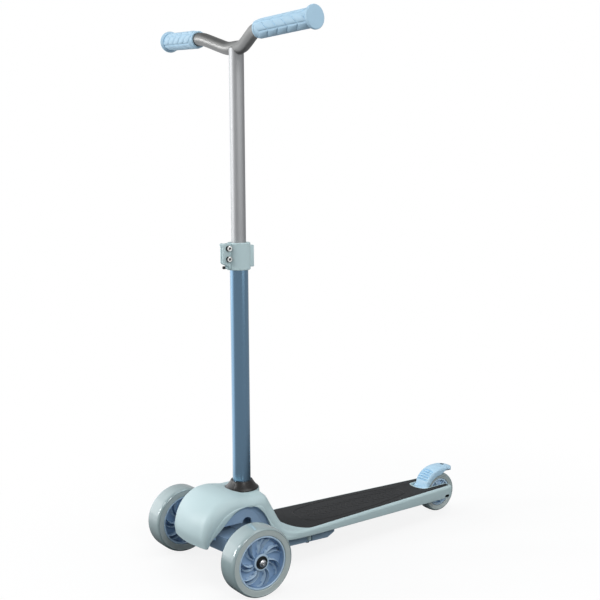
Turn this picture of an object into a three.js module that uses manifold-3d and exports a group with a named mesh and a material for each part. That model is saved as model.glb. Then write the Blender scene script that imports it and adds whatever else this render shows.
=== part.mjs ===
// A child's three wheel scooter that is steered by leaning.
// Millimetres. X is the rider's left, Y points to the rear, Z points up.
// While the pieces are made, Y is counted from the front axle and Z from the ground.
import * as THREE from "three";
import { mergeVertices } from "three/addons/utils/BufferGeometryUtils.js";
import Module from "manifold-3d";

const wasm = await Module();
wasm.setup();

// Fits that many pieces share.
const gap = 0.3; // clearance between pieces that touch or slide
const overrun = 4; // how far a cut runs past the faces that it opens
const weldDistance = 1e-3; // vertices this close are one vertex

// Facet counts.
const wheelSides = 32;
const rearWheelSides = 28;
const tubeSides = 20;
const smallSides = 12;
const clampSides = 32;
const hexSides = 6;

// Front wheels.
const frontWheelRadius = 60;
const frontWheelWidth = 40;
const trackWidth = 253; // between the middles of the two front wheels
const frontTreadShoulder = 3.5;
const hubOpeningRadius = 46.2;
const hubBarrelWall = 3;
const hubFaceInset = 1.2; // hub barrel edge to the tyre's side
const hubWebThickness = 3;
const vaneCount = 7;
const vaneShare = 0.67; // of the pitch, the rest is the deep slot between vanes
const vaneInset = 9; // vane face to the tyre's side
const crestInset = 4.5; // crest edge to the tyre's side
const crestThickness = 2.4;
const vaneSweep = 32; // degrees that a vane turns from boss to barrel
const vaneBend = 1.7; // how late along its length a vane turns
const vaneSteps = 4;
const hubBossRadius = 14.5;
const hubBossInset = 4; // boss end to the tyre's side

// Rear wheel.
const rearWheelRadius = 40;
const rearWheelWidth = 26;
const wheelbase = 527;
const rearTreadShoulder = 5;
const rearHubRadius = 28;
const rearBarrelWall = 3.5;

// Ball bearings, one size for all wheels.
const bearingOuterRadius = 11;
const bearingBoreRadius = 4;
const bearingWidth = 7;
const bearingFaceStep = 0.5; // round edge of the outer race
const spacerWall = 1.6;
const spacerClearance = 1.2; // round the spacer inside a hub

// Axle bolts.
const axleRadius = 3.7;
const axleHeadRadius = 6.4;
const axleHeadHeight = 4.4;
const axleWasherRadius = 10.2;
const axleWasherThickness = 1.2;

// The bolt's domed head, as shares of its radius and of its height.
const boltDomeShares = [
  [1, 0],
  [1, 0.3],
  [0.8, 0.75],
  [0.4, 0.96],
  [0, 1],
];

// Lean pivot, and the truck that carries the two front wheels.
const pivotHeight = 70;
const pivotRadius = 5;
const pivotBushRadius = 7;
const pivotBlockWall = 3;
const truckTop = 84;
const truckBottom = 58;
const truckFront = 29; // reach ahead of the front axle
const truckBack = 14; // reach behind the front axle
const truckArmReach = 70; // half the length of its solid middle
const truckEndShare = 0.8; // its reach at the ends, of its reach in the middle
const truckMiddleShare = 0.4; // of the arm's reach, the part that keeps its full width
const lugRootShare = 0.9; // of the arm's reach, where a fork begins
const truckHubRadius = 13;
const kingpinSpacing = 168;
const kingpinRadius = 4;
const kingpinHeadRadius = 7;
const kingpinHeadHeight = 4;
const lugRadius = 11;
const upperLugThickness = 10;
const lowerLugThickness = 9;
const knuckleHeight = 21.4;
const knuckleEyeRadius = 9;
const knuckleDrop = 9.7; // lowest face of the eye below the axle
const knuckleClearance = 1.5; // inboard of the eye, in the truck's notch
const knuckleWall = 2.5; // between the kingpin and the axle bolt's end
const stubRadius = 8.5;
const steeringArmLength = 34;
const steeringArmWidth = 11;
const steeringArmThickness = 7;
const steeringArmDrop = 4; // its lower face below the axle
const tieRodPinRadius = 3;
const tieRodPinLength = 7.5;
const tieRodHeight = 5.4;
const tieRodWidth = 9;
const tieRodEyeRadius = 8;
const tieRodEyeClearance = 1.4;
const tailArmWidth = 8;
const tailArmHeight = 10;
const tailArmBottom = 37;
const tailArmEnd = 184; // station of its rear end
const tailPlateThickness = 5;
const tailPlateWidth = 22;
const tailPlateTopInset = 10; // below the truck's top
const tailBoltRadius = 2.5;
const tailBoltDrop = 8.5; // its middle below the pivot

// Deck moulding with the hood over the truck, in one piece.
const mouldingWall = 3.5;
const deckTop = 59;
const deckStart = 155; // station where the hood has become the level deck
const deckEndReach = 13; // behind the rear axle
const deckFrontHalfWidth = 65;
const deckRearHalfWidth = 39.5;
const deckFrontDepth = 13;
const deckRearDepth = 24;
const deckRimRadius = 5;
const deckEndRadius = 9;
const noseReach = 65; // hood front ahead of the front axle
const seatHeight = 141; // top of the hood where the column comes out
const hoodBulge = 7; // how far the nose swells ahead of its sides
const rearBlockLead = 82; // ahead of the rear axle, where the deck turns solid
const deckRibThickness = 3;
const deckRibPitch = 42;
const deckRibStart = 250;
const deckRibSpacing = 36;
const deckRibRecess = 3; // rib edge above the lower edge of the rim
const seatBossMargin = 1.4;
const seatBossDepth = 16;

// Slot for the rear wheel.
const slotHalfWidth = 20.5;
const slotLead = 56; // its nose ahead of the rear axle
const slotNoseLength = 9;
const slotSteps = 12;
const axlePocketDepth = 6;
const axlePocketLength = 14;
const axlePocketHeight = 5;
const axlePocketShift = 6; // its middle ahead of the axle

// Grip mat.
const matThickness = 2.2;
const matRecess = 2;
const matBorder = 5.5;
const matFront = 136;
const matNoseLength = 32;
const matSlotBorder = 3;
const matEndBorder = 7;
const matSteps = 20;

// Steering column.
const columnStation = 53.7;
const columnRadius = 16;
const columnWall = 1.5;
const columnBottom = 88;
const clampBottom = 532;
const clampHeight = 47;
const columnBelowClampTop = 7;
const columnBoltRadius = 3;
const columnBoltHeadRadius = 5.5;
const columnBoltHeadHeight = 4;
const bootRadius = 29.9;
const bootHeight = 15;
const bootRim = 1.5;
const bootNeckWall = 3.2;
const bootBend = 0.8; // under 1 hollows the flare

// Sliding T-bar.
const upperTubeRadius = 12.7;
const upperTubeWall = 1.6;
const upperTubeBottom = 400;
const bushingLength = 62;
const bushingTopInset = 3;
const barRadius = 11.1;
const barWall = 2;
const barSaddleHeight = 906.8; // middle of the bar where it crosses the upright
const barRise = 20.2;
const barForward = 17.4;
const gripInner = 92.6; // inner end of a grip, from the middle
const gripLength = 133;
const gripBackShare = 0.119;
const gripUpShare = 0.055;
const barInGrip = 120;
const barLeadIn = 12;
const gripRadius = 15.6;
const gripCollarRadius = 14.4;
const gripCollarLength = 5;
const gripFlangeRadius = 18.9;
const gripFlangeLength = 5.5;
const gripDome = 1.6;
const tubePlugLength = 10;
const tubePlugFlange = 2.5;

// Height clamp.
const clampRadius = 20.2;
const clampEarThickness = 10;
const clampSlit = 2;
const clampEarFront = 35; // reach ahead of the column's middle
const clampEarRise = 11; // lower end of the ears above the clamp's
const clampRibReach = 29.4;
const clampRibThickness = 7;
const clampRibInset = 3.5;
const clampRibTopInset = 5.6;
const clampBoltRadius = 2.8;
const clampBoltHeadRadius = 4.8;
const clampBoltHeadHeight = 6;
const clampBoltReach = 24.8;
const clampBoltDrop = 9;
const clampBoltSpacing = 18.3;
const clampSocketRadius = 2.4;
const clampSocketDepth = 3.2;
const clampNutRadius = 5;
const clampNutHeight = 4.05;
const clampBoltTip = 0.45; // past the nut
const clampEdge = 1.2;
const buttonRise = 5; // its middle above the clamp's lower end
const buttonRadius = 2.6;
const buttonProud = 10.2;
const buttonBossRadius = 4.8;
const buttonBossReach = 23;
const buttonTravel = 2.5;

// Chassis under the hood.
const chassisSocketWall = 4.5;
const chassisFloor = 5;
const bearingBlockHalfWidth = 15;
const frontBlockLength = 15;
const linerHalfWidth = 50;
const linerWall = 4;
const linerMargin = 1; // to the inside of the hood
const linerDrop = 8;
const linerSlotLength = 19;
const linerSlotRise = 9;
const linerSlotStation = 31.6;
const windowMargin = 3;
const windowTop = 97;
const bridgeThickness = 8;
const webThickness = 4.5;
const rearWebStation = 42;
const webTopShareFront = 0.55;
const webTopShareRear = 0.66;
const spineHalfWidth = 24;
const spineBottom = 50.5;
const spineEnd = 128;

// Spring housing under the deck.
const housingHalfWidth = 44;
const housingStart = 92;
const housingEnd = 229;
const housingFrontBottom = 28.5;
const housingRearBottom = 24;
const housingWall = 3;
const housingRearRadius = 16;
const housingMouthHalfWidth = 17;
const housingTopGap = 0.3;
const bufferLength = 24;
const bufferThicknessMargin = 6.6; // free travel of the tail arm
const bufferStation = 162;
const bufferHeight = 12;
const housingScrewStation = 170;
const housingScrewInset = 6;
const housingScrewRadius = 2;
const housingScrewHeadRadius = 3.8;
const housingScrewHeadHeight = 2.4;
const housingPostRadius = 5;

// Rear brake.
const brakeHalfWidth = 18;
const brakeWall = 2.8;
const brakeCorner = 4;
const brakeSwell = 2; // middle of the top over its corners
const brakeSideShare = 0.93; // lower edge of the side walls, over the wheel radius
const brakeTongueLead = -5; // degrees, where the side walls start to shorten
const brakeTongueStart = 20; // degrees, where the plate turns into a solid tongue
const brakeTongueDepth = 9;
const brakePadHalfWidth = 9;
const brakePadEnd = 8; // degrees to either side of the top
const brakePadClearance = 3; // pad to tread
const brakePadRootShare = 1.275; // over the wheel radius, inside the fender's top
const brakePinLead = 44.5; // ahead of the rear axle
const brakePinHeight = 50;
const brakePinRadius = 2.5;
const brakeBossRadius = 4.6;
const brakeNeckFrontShare = 0.9; // of the boss radius, ahead of the pin
const brakeNeckBackShare = 0.7;
const brakeNeckLap = 4; // degrees that the neck runs into the fender
const brakePinReach = 31;
const brakeGrooveCount = 5;
const brakeGrooveWidth = 2.4;
const brakeGrooveDepth = 1.2;
const brakeGrooveHalfLength = 11;
const brakeHoleReach = 19; // behind the rear axle
const brakeHoleRadius = 2.6;
const brakeTongueRadius = 16;
const brakeSpringRadius = 4.1;

// The hood's ribs, from the lip under the nose to the deck. Each row has the top point and the
// lower edge as shares along (-1 nose, 0 column, 1 deck) and up (0 deck, 1 column seat), then the
// half width, corner radius and swell as shares of the deck's half width, rim radius and bulge.
const hoodRibShares = [
  [-0.975, 0.11, -0.865, 0.1, 0.8, 1, 1],
  [-1, 0.354, -0.798, 0.256, 0.83, 2.4, 1],
  [-0.94, 0.66, -0.663, 0.451, 0.88, 3.6, 0.9],
  [-0.806, 0.89, -0.537, 0.646, 0.91, 4.2, 0.6],
  [-0.621, 1.045, -0.427, 0.768, 0.92, 4.2, 0.5],
  [-0.436, 1.08, -0.3, 0.83, 0.92, 4, 0.45],
  [-0.267, 1.05, -0.216, 0.841, 0.92, 3.4, 0.4],
  [-0.1, 1.012, -0.132, 0.823, 0.92, 2.8, 0.5],
  [0.082, 1.005, -0.048, 0.756, 0.92, 3, 0.5],
  [0.2, 0.965, 0.023, 0.665, 0.92, 3.8, 0.4],
  [0.3, 0.77, 0.1, 0.549, 0.92, 4.2, 0.3],
  [0.385, 0.549, 0.171, 0.366, 0.93, 4, 0.2],
  [0.475, 0.317, 0.24, 0.171, 0.945, 3.2, 0.2],
  [0.59, 0.105, 0.329, -0.012, 0.965, 2.2, 0.1],
  [0.77, 0.012, 0.526, -0.122, 0.99, 1.3, 0],
  [1, 0, 0.95, -0.1585, 1, 1, 0],
];
const hoodStepsPerRib = 2;
const cornerSteps = 3;
const crownSteps = 2;
const deckEndSteps = 4;

// The fender's top, as angles from the vertical at the rear axle and shares of the wheel radius.
const fenderRadiusShares = [
  [-68, 1.13],
  [-50, 1.235],
  [-34, 1.275],
  [-18, 1.3],
  [-3, 1.32],
  [10, 1.355],
  [20, 1.41],
  [29, 1.465],
  [36.5, 1.5],
];
const fenderSteps = 18;

// The handlebar's bends, as shares of the grip's inner end, of its forward reach and of its rise.
const barBendShares = [
  [0.24, 0.14, 0.01],
  [0.45, 0.37, 0.3],
  [0.67, 0.66, 0.66],
  [0.87, 0.9, 0.95],
];
const barSteps = 28;
const barSides = 12;

// Places that follow from the sizes above.
const frontHalfTrack = trackWidth / 2;
const frontAxleHeight = frontWheelRadius;
const rearAxleHeight = rearWheelRadius;
const kingpinX = kingpinSpacing / 2;
const knuckleBottom = frontAxleHeight - knuckleDrop;
const knuckleTop = knuckleBottom + knuckleHeight;
const lugTop = knuckleTop + gap + upperLugThickness;
const lugBottom = knuckleBottom - gap - lowerLugThickness;
const wheelInboard = frontHalfTrack - frontWheelWidth / 2;
const wheelOutboard = frontHalfTrack + frontWheelWidth / 2;
const bossInboard = wheelInboard + hubBossInset;
const bossOutboard = wheelOutboard - hubBossInset;
const deckEnd = wheelbase + deckEndReach;
const rearBlockStart = wheelbase - rearBlockLead;
const slotFront = wheelbase - slotLead;
const brakePinStation = wheelbase - brakePinLead;
const brakeHoleStation = wheelbase + brakeHoleReach;
const clampTop = clampBottom + clampHeight;
const clampEarBottom = clampBottom + clampEarRise;
const buttonHeight = clampBottom + buttonRise;
const columnTop = clampTop - columnBelowClampTop;
const socketTop = seatHeight - seatBossDepth - gap;
const columnBoltHeight = (columnBottom + socketTop) / 2;
const aboveFender = deckTop * 2;
const hubBore = axleRadius + spacerWall + spacerClearance;
const axleBoltInner = kingpinX + kingpinRadius + knuckleWall;
const housingTop = deckTop - mouldingWall - housingTopGap;
const tailArmTop = tailArmBottom + tailArmHeight;
const steeringArmBottom = frontAxleHeight - steeringArmDrop;
const steeringArmTop = steeringArmBottom + steeringArmThickness;
const tieRodTop = steeringArmBottom - gap;
const clampEarStation = columnStation - clampEarFront;
const clampBoltStation = columnStation - clampBoltReach;
const frontBlockEnd = -truckFront - gap;
const frontBlockStart = frontBlockEnd - frontBlockLength;
const rearBlockFront = truckBack + gap + tailPlateThickness + gap;
const tailScrewPlace = [0, pivotHeight - tailBoltDrop];

// Finishes.
const finish = (color, roughness, metalness) =>
  new THREE.MeshStandardMaterial({ color, roughness, metalness });
const palePlastic = finish(0xb9cdcf, 0.5, 0);
const bluePlastic = finish(0x7f9cc0, 0.4, 0);
const gripBlue = finish(0x9cc4e0, 0.6, 0);
const brakeBlue = finish(0xa9cfe8, 0.45, 0);
const paleTyre = finish(0xb4c4c2, 0.2, 0);
const matBlack = finish(0x38393b, 0.9, 0);
const darkPlastic = finish(0x33302e, 0.4, 0);
const blueTube = finish(0x6f90ad, 0.3, 0.6);
const aluminium = finish(0xa3a4a6, 0.35, 0.9);
const darkSteel = finish(0x4a4f50, 0.4, 0.8);
const brightSteel = finish(0xd0d0d0, 0.15, 1);
const rubber = finish(0x222222, 0.8, 0);

// Turns a closed geometry into a solid for cutting and joining.
function solidOf(geometry) {
  const bare = geometry.index ? geometry.toNonIndexed() : geometry.clone();
  bare.deleteAttribute("normal");
  bare.deleteAttribute("uv");
  const merged = mergeVertices(bare, weldDistance);
  return new wasm.Manifold(
    new wasm.Mesh({
      numProp: 3,
      vertProperties: merged.attributes.position.array,
      triVerts: new Uint32Array(merged.index.array),
    }),
  );
}

// Turns a solid back into a geometry.
function geometryOf(solid) {
  const mesh = solid.getMesh();
  const geometry = new THREE.BufferGeometry();
  const position = new THREE.BufferAttribute(mesh.vertProperties, 3);
  geometry.setAttribute("position", position);
  geometry.setIndex(new THREE.BufferAttribute(mesh.triVerts, 1));
  geometry.computeVertexNormals();
  return geometry;
}

const joined = (parts) => parts.reduce((sum, part) => sum.add(part));
const cutFrom = (body, tools) => tools.reduce((rest, tool) => rest.subtract(tool), body);

// A round bar along an axis. `at` gives its place on the other two axes, in X, Y, Z order.
function rod(axis, from, to, radius, at, sides = smallSides) {
  const geometry = new THREE.CylinderGeometry(radius, radius, to - from, sides);
  geometry.translate(0, (from + to) / 2, 0);
  if (axis === "x") geometry.rotateZ(-Math.PI / 2).translate(0, at[0], at[1]);
  if (axis === "y") geometry.translate(at[0], 0, at[1]);
  if (axis === "z") geometry.rotateX(Math.PI / 2).translate(at[0], at[1], 0);
  return solidOf(geometry);
}

// A box between two corners.
function block(low, high) {
  const size = high.map((value, k) => value - low[k]);
  const middle = high.map((value, k) => (value + low[k]) / 2);
  return solidOf(new THREE.BoxGeometry(...size).translate(...middle));
}

// A flat outline pushed along an axis. Outlines along x are in (Y, Z) and along z in (X, Y).
function prism(axis, points, from, to) {
  const options = { depth: to - from, bevelEnabled: false };
  const geometry = new THREE.ExtrudeGeometry(new THREE.Shape(points), options);
  geometry.translate(0, 0, from);
  if (axis === "x") {
    const swap = new THREE.Matrix4().set(0, 0, 1, 0, 1, 0, 0, 0, 0, 1, 0, 0, 0, 0, 0, 1);
    geometry.applyMatrix4(swap);
  }
  return solidOf(geometry);
}

// A turned piece. The profile is (radius, height) along the turning axis, which starts as Y.
function turned(profile, sides) {
  const points = profile.map(([radius, height]) => new THREE.Vector2(radius, height));
  if (THREE.ShapeUtils.isClockWise(points)) points.reverse();
  const onAxis = points.every((point) => point.x > 0) ? [points[0].clone()] : [];
  return new THREE.LatheGeometry([...points, ...onAxis], sides);
}

// A turned piece along X, with heights counted as X; positive heights are outboard on the left.
const turnedAlongX = (profile, sides, y, z) =>
  solidOf(turned(profile, sides).rotateZ(-Math.PI / 2).translate(0, y, z));

// A turned piece along Z, with heights counted as Z.
const turnedAlongZ = (profile, sides, x, y) =>
  solidOf(turned(profile, sides).rotateX(Math.PI / 2).translate(x, y, 0));

const mirrored = (solid) => solid.mirror([1, 0, 0]);

// Skins a row of rings that all have the same points, and closes both ends.
function loft(rings, flatRing) {
  const count = flatRing.length;
  const vertices = rings.flat().flatMap((point) => point.toArray());
  const faces = [];
  for (let ring = 0; ring + 1 < rings.length; ring++) {
    for (let k = 0; k < count; k++) {
      const next = (k + 1) % count;
      const [a, b] = [ring * count + k, ring * count + next];
      const [c, d] = [b + count, a + count];
      faces.push(a, b, c, a, c, d);
    }
  }
  const last = (rings.length - 1) * count;
  for (const [a, b, c] of THREE.ShapeUtils.triangulateShape(flatRing, [])) {
    faces.push(c, b, a, last + a, last + b, last + c);
  }
  const geometry = new THREE.BufferGeometry();
  geometry.setAttribute("position", new THREE.Float32BufferAttribute(vertices, 3));
  geometry.setIndex(faces);
  return solidOf(geometry);
}

// Every rib of the deck moulding: top point, lower edge, half width, corner radius and swell.
function mouldingRibs() {
  const ahead = columnStation + noseReach;
  const behind = deckStart - columnStation;
  const along = (share) => columnStation + share * (share < 0 ? ahead : behind);
  const up = (share) => deckTop + share * (seatHeight - deckTop);
  const rows = hoodRibShares.flatMap(([topY, topZ, edgeY, edgeZ, width, corner, swell]) => [
    along(topY),
    up(topZ),
    along(edgeY),
    up(edgeZ),
    width * deckFrontHalfWidth,
    corner * deckRimRadius,
    swell * hoodBulge,
  ]);
  const columns = hoodRibShares[0].length;
  const times = hoodRibShares.map((row, k) => k);
  const curve = new THREE.CubicInterpolant(times, rows, columns);
  const steps = (hoodRibShares.length - 1) * hoodStepsPerRib;
  const ribs = [];
  for (let k = 0; k <= steps; k++) {
    const [y, z, edgeY, edgeZ, halfWidth, corner, swell] = curve.evaluate(k / hoodStepsPerRib);
    const top = new THREE.Vector2(y, z);
    ribs.push({ top, edge: new THREE.Vector2(edgeY, edgeZ), halfWidth, corner, swell });
  }
  return [...ribs, ...deckRibs()];
}

const deckShare = (y) => (y - deckStart) / (deckEnd - deckStart);
const deckHalfWidth = (y) =>
  THREE.MathUtils.lerp(deckFrontHalfWidth, deckRearHalfWidth, deckShare(y));
const deckBottom = (y) =>
  deckTop - THREE.MathUtils.lerp(deckFrontDepth, deckRearDepth, deckShare(y));

// The level part of the deck, which tapers to the rear and has rounded ends.
function deckRibs() {
  const ribs = [rearBlockStart, (rearBlockStart + deckEnd) / 2].map((y) => ({ y, round: 0 }));
  for (let k = 0; k <= deckEndSteps; k++) {
    const angle = (k / deckEndSteps) * (Math.PI / 2);
    const y = deckEnd - deckEndRadius + deckEndRadius * Math.sin(angle);
    ribs.push({ y, round: 1 - Math.cos(angle) });
  }
  return ribs.map(({ y, round }) => ({
    top: new THREE.Vector2(y, deckTop - (round * deckRimRadius) / 2),
    edge: new THREE.Vector2(y, deckBottom(y) + (round * deckRimRadius) / 2),
    halfWidth: deckHalfWidth(y) - round * deckEndRadius,
    corner: deckRimRadius,
    swell: 0,
  }));
}

// Half of a rib's outline as (x, depth), from the middle to the lower edge.
function ribSide({ top, edge, halfWidth, corner, swell }, inset) {
  const depth = top.distanceTo(edge);
  const radius = corner - inset;
  const flat = halfWidth - corner;
  const side = [];
  for (let k = 1; k <= crownSteps; k++) {
    const share = k / crownSteps;
    side.push([flat * share, inset + swell * share * share]);
  }
  for (let k = 1; k <= cornerSteps; k++) {
    const angle = (k / cornerSteps) * (Math.PI / 2);
    const x = flat + radius * Math.sin(angle);
    side.push([x, inset + swell + radius * (1 - Math.cos(angle))]);
  }
  side.push([halfWidth - inset, depth]);
  return side;
}

// A whole rib: a channel with a wall, or a solid bar when no wall is given.
function ribOutline(rib, wall) {
  const outer = ribSide(rib, 0);
  const mirror = (points) => points.map(([x, depth]) => [-x, depth]).reverse();
  const outline = [...mirror(outer), [0, 0], ...outer];
  if (!wall) return outline;
  const inner = ribSide(rib, wall);
  return [...outline, ...[...inner].reverse(), [0, wall], ...mirror(inner).reverse()];
}

// Puts a rib's outline in its own plane across the scooter.
function placedRib(rib, wall) {
  const inward = rib.edge.clone().sub(rib.top).normalize();
  return ribOutline(rib, wall).map(
    ([x, depth]) =>
      new THREE.Vector3(x, rib.top.x + inward.x * depth, rib.top.y + inward.y * depth),
  );
}

function lofted(ribs, wall) {
  const flat = ribOutline(ribs[0], wall).map(([x, depth]) => new THREE.Vector2(x, depth));
  return loft(
    ribs.map((rib) => placedRib(rib, wall)),
    flat,
  );
}

// The wheel slot's outline, grown by a margin: an oval nose and straight sides.
function slotOutline(margin, end) {
  const half = slotHalfWidth + margin;
  const length = slotNoseLength + margin;
  const points = [];
  for (let k = 0; k <= slotSteps; k++) {
    const angle = Math.PI * (k / slotSteps);
    const y = slotFront + slotNoseLength - length * Math.sin(angle);
    points.push(new THREE.Vector2(-half * Math.cos(angle), y));
  }
  return [...points, new THREE.Vector2(half, end), new THREE.Vector2(-half, end)];
}

// The mat's outline, grown by a margin: an oval front, tapered sides and two rear arms.
function matOutline(margin) {
  const y0 = matFront + matNoseLength;
  const half = (y) => deckHalfWidth(y) - matBorder + margin;
  const end = deckEnd - matEndBorder + margin;
  const front = [];
  for (let k = 0; k <= matSteps; k++) {
    const angle = Math.PI * (k / matSteps);
    const y = y0 - (matNoseLength + margin) * Math.sin(angle);
    front.push(new THREE.Vector2(-half(y0) * Math.cos(angle), y));
  }
  const slot = slotOutline(matSlotBorder - margin, end).slice(0, slotSteps + 1);
  const corner = matEndBorder / 2;
  return [
    ...front,
    new THREE.Vector2(half(end - corner), end - corner),
    new THREE.Vector2(half(end) - corner, end),
    new THREE.Vector2(slotHalfWidth + matSlotBorder - margin, end),
    ...slot.reverse(),
    new THREE.Vector2(-(slotHalfWidth + matSlotBorder - margin), end),
    new THREE.Vector2(corner - half(end), end),
    new THREE.Vector2(-half(end - corner), end - corner),
  ];
}

// Thin ribs that stiffen the deck's hollow underside.
function deckStiffeners() {
  const ribs = [];
  const top = deckTop - mouldingWall / 2;
  const half = deckRibThickness / 2;
  for (let y = deckRibStart; y < rearBlockStart; y += deckRibPitch) {
    const reach = deckHalfWidth(y) - mouldingWall / 2;
    ribs.push(block([-reach, y - half, deckBottom(y) + deckRibRecess], [reach, y + half, top]));
  }
  for (const x of [-deckRibSpacing / 2, deckRibSpacing / 2]) {
    const bottom = deckBottom(deckRibStart) + deckRibRecess;
    const rear = rearBlockStart + deckRibThickness;
    ribs.push(block([x - half, deckRibStart, bottom], [x + half, rear, top]));
  }
  return ribs;
}

// Deck and hood in one moulding, with the column's seat, the mat's recess and the wheel slot.
function deckMoulding() {
  const ribs = mouldingRibs();
  const rear = ribs.filter((rib) => rib.top.x >= rearBlockStart);
  const seatRadius = bootRadius + seatBossMargin;
  const column = [0, columnStation];
  const boss = rod("z", seatHeight - seatBossDepth, seatHeight, seatRadius, column, tubeSides);
  const body = joined([lofted(ribs, mouldingWall), lofted(rear, 0), boss, ...deckStiffeners()]);
  const above = seatHeight + seatBossDepth;
  const axle = [wheelbase, rearAxleHeight];
  const pocketFloor = deckHalfWidth(wheelbase) - axlePocketDepth;
  const past = deckFrontHalfWidth + overrun;
  const pocketY = wheelbase - axlePocketShift;
  const pocketHalfLength = axlePocketLength / 2;
  const pocketHalfHeight = axlePocketHeight / 2;
  const pocket = block(
    [pocketFloor, pocketY - pocketHalfLength, rearAxleHeight - pocketHalfHeight],
    [past, pocketY + pocketHalfLength, rearAxleHeight + pocketHalfHeight],
  );
  const pin = [brakePinStation, brakePinHeight];
  const pinReach = brakePinReach + gap;
  return cutFrom(body, [
    rod("z", seatHeight, above, seatRadius, column, tubeSides),
    rod("z", deckTop, above, columnRadius + gap, column, tubeSides),
    prism("z", matOutline(gap), deckTop - matRecess, deckTop + overrun),
    prism("z", slotOutline(0, deckEnd + overrun), 0, deckTop + overrun),
    rod("x", -pocketFloor - gap, pocketFloor + gap, axleRadius + gap, axle),
    pocket,
    mirrored(pocket),
    rod("x", -pinReach, pinReach, brakePinRadius + gap, pin),
  ]);
}

function gripMat() {
  const bottom = deckTop - matRecess + gap;
  return prism("z", matOutline(0), bottom, bottom + matThickness);
}

// How deep the hood's inner face lies below a rib's top point, at a distance from the middle.
function cavityDepth({ halfWidth, corner, swell }, x) {
  const flat = halfWidth - corner;
  if (x <= flat) return mouldingWall + swell * (x / flat) ** 2;
  const radius = Math.max(corner - mouldingWall, x - flat);
  return mouldingWall + swell + radius - Math.sqrt(radius ** 2 - (x - flat) ** 2);
}

// The wall that lines the inside of a wheel arch, following the hood's ribs.
function archLiner(side) {
  const ribs = mouldingRibs().filter((rib) => rib.top.x < deckStart && rib.edge.x < housingStart);
  const lead = hoodStepsPerRib;
  const inner = ribs.slice(lead, -lead);
  const at = (rib, depth) => rib.edge.clone().sub(rib.top).setLength(depth).add(rib.top);
  const upper = inner.map((rib) => at(rib, cavityDepth(rib, linerHalfWidth) + linerMargin));
  const ends = [inner.at(-1), inner[0]].map((rib) =>
    at(rib, rib.top.distanceTo(rib.edge) + linerDrop),
  );
  const outside = side * linerHalfWidth;
  const inside = side * (linerHalfWidth - linerWall);
  const outline = [...upper, ...ends];
  const wall = prism("x", outline, Math.min(inside, outside), Math.max(inside, outside));
  const slot = prism("x", linerSlot(), -linerHalfWidth - overrun, linerHalfWidth + overrun);
  return wall.subtract(slot);
}

// Opening in the liner for the truck's steering parts, with a round top.
function linerSlot() {
  const half = linerSlotLength / 2;
  const back = linerSlotStation + half;
  const points = [new THREE.Vector2(back, 0)];
  for (let k = 0; k <= cornerSteps * 2; k++) {
    const angle = (Math.PI * k) / (cornerSteps * 2);
    const y = linerSlotStation + half * Math.cos(angle);
    points.push(new THREE.Vector2(y, windowTop - linerMargin + linerSlotRise * Math.sin(angle)));
  }
  const front = rearBlockFront - overrun;
  const low = windowTop - linerMargin * 2;
  return [...points, new THREE.Vector2(front, low), new THREE.Vector2(front, 0)];
}

// The load-bearing frame under the hood: column socket, pivot blocks, webs and arch liners.
function chassisFrame() {
  const column = [0, columnStation];
  const socketRadius = columnRadius + gap + chassisSocketWall;
  const pivot = [0, pivotHeight];
  const blockBottom = pivotHeight - pivotBushRadius - pivotBlockWall;
  const half = bearingBlockHalfWidth;
  const bridgeTop = windowTop + bridgeThickness;
  const rise = seatHeight - deckTop;
  const frontWebTop = deckTop + rise * (1 + webTopShareFront) / 2;
  const rearWebTop = deckTop + rise * webTopShareRear;
  const webHalf = linerHalfWidth - linerWall / 2;
  const body = joined([
    rod("z", pivotHeight, socketTop, socketRadius, column, tubeSides),
    block([-half, rearBlockFront, blockBottom], [half, columnStation, bridgeTop]),
    block([-half, frontBlockStart, blockBottom], [half, frontBlockEnd, bridgeTop]),
    block([-half, frontBlockStart, windowTop], [half, columnStation, bridgeTop]),
    block(
      [-webHalf, frontBlockEnd - webThickness, windowTop],
      [webHalf, frontBlockEnd, frontWebTop],
    ),
    block(
      [-webHalf, rearWebStation, windowTop],
      [webHalf, rearWebStation + webThickness, rearWebTop],
    ),
    block([-spineHalfWidth, columnStation, spineBottom], [spineHalfWidth, spineEnd, housingTop]),
    block(
      [-half, columnStation, spineBottom],
      [half, columnStation + socketRadius, pivotHeight + chassisFloor],
    ),
    archLiner(1),
    archLiner(-1),
  ]);
  const wide = linerHalfWidth + overrun;
  const windowBack = truckBack + windowMargin;
  const boltReach = socketRadius + overrun;
  return cutFrom(body, [
    rod("z", columnBottom - gap, socketTop + overrun, columnRadius + gap, column, tubeSides),
    block([-wide, frontBlockEnd, 0], [wide, rearBlockFront, windowTop]),
    block([half, -truckFront - windowMargin, 0], [wide, windowBack, windowTop]),
    block([-wide, -truckFront - windowMargin, 0], [-half, windowBack, windowTop]),
    rod("y", frontBlockStart - overrun, frontBlockEnd + overrun, pivotBushRadius + gap, pivot),
    rod("y", rearBlockFront - overrun, rearPivotEnd(), pivotBushRadius + gap, pivot),
    rod("x", -boltReach, boltReach, columnBoltRadius + gap, [columnStation, columnBoltHeight]),
  ]);
}

const rearPivotEnd = () => columnStation - columnRadius / 2;

// Plain bushes that the pivot shaft turns in.
const pivotBush = (from, to) =>
  rod("y", from, to, pivotBushRadius, [0, pivotHeight]).subtract(
    rod("y", from - overrun, to + overrun, pivotRadius + gap, [0, pivotHeight]),
  );

const frontPivotBush = () => pivotBush(frontBlockStart, frontBlockEnd);
const rearPivotBush = () => pivotBush(rearBlockFront, rearPivotEnd() - gap);

// The shaft that the truck leans on. It is pressed into the truck's hub.
const pivotShaft = () =>
  rod("y", frontBlockStart, rearPivotEnd() - gap * 2, pivotRadius, [0, pivotHeight]);

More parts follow.
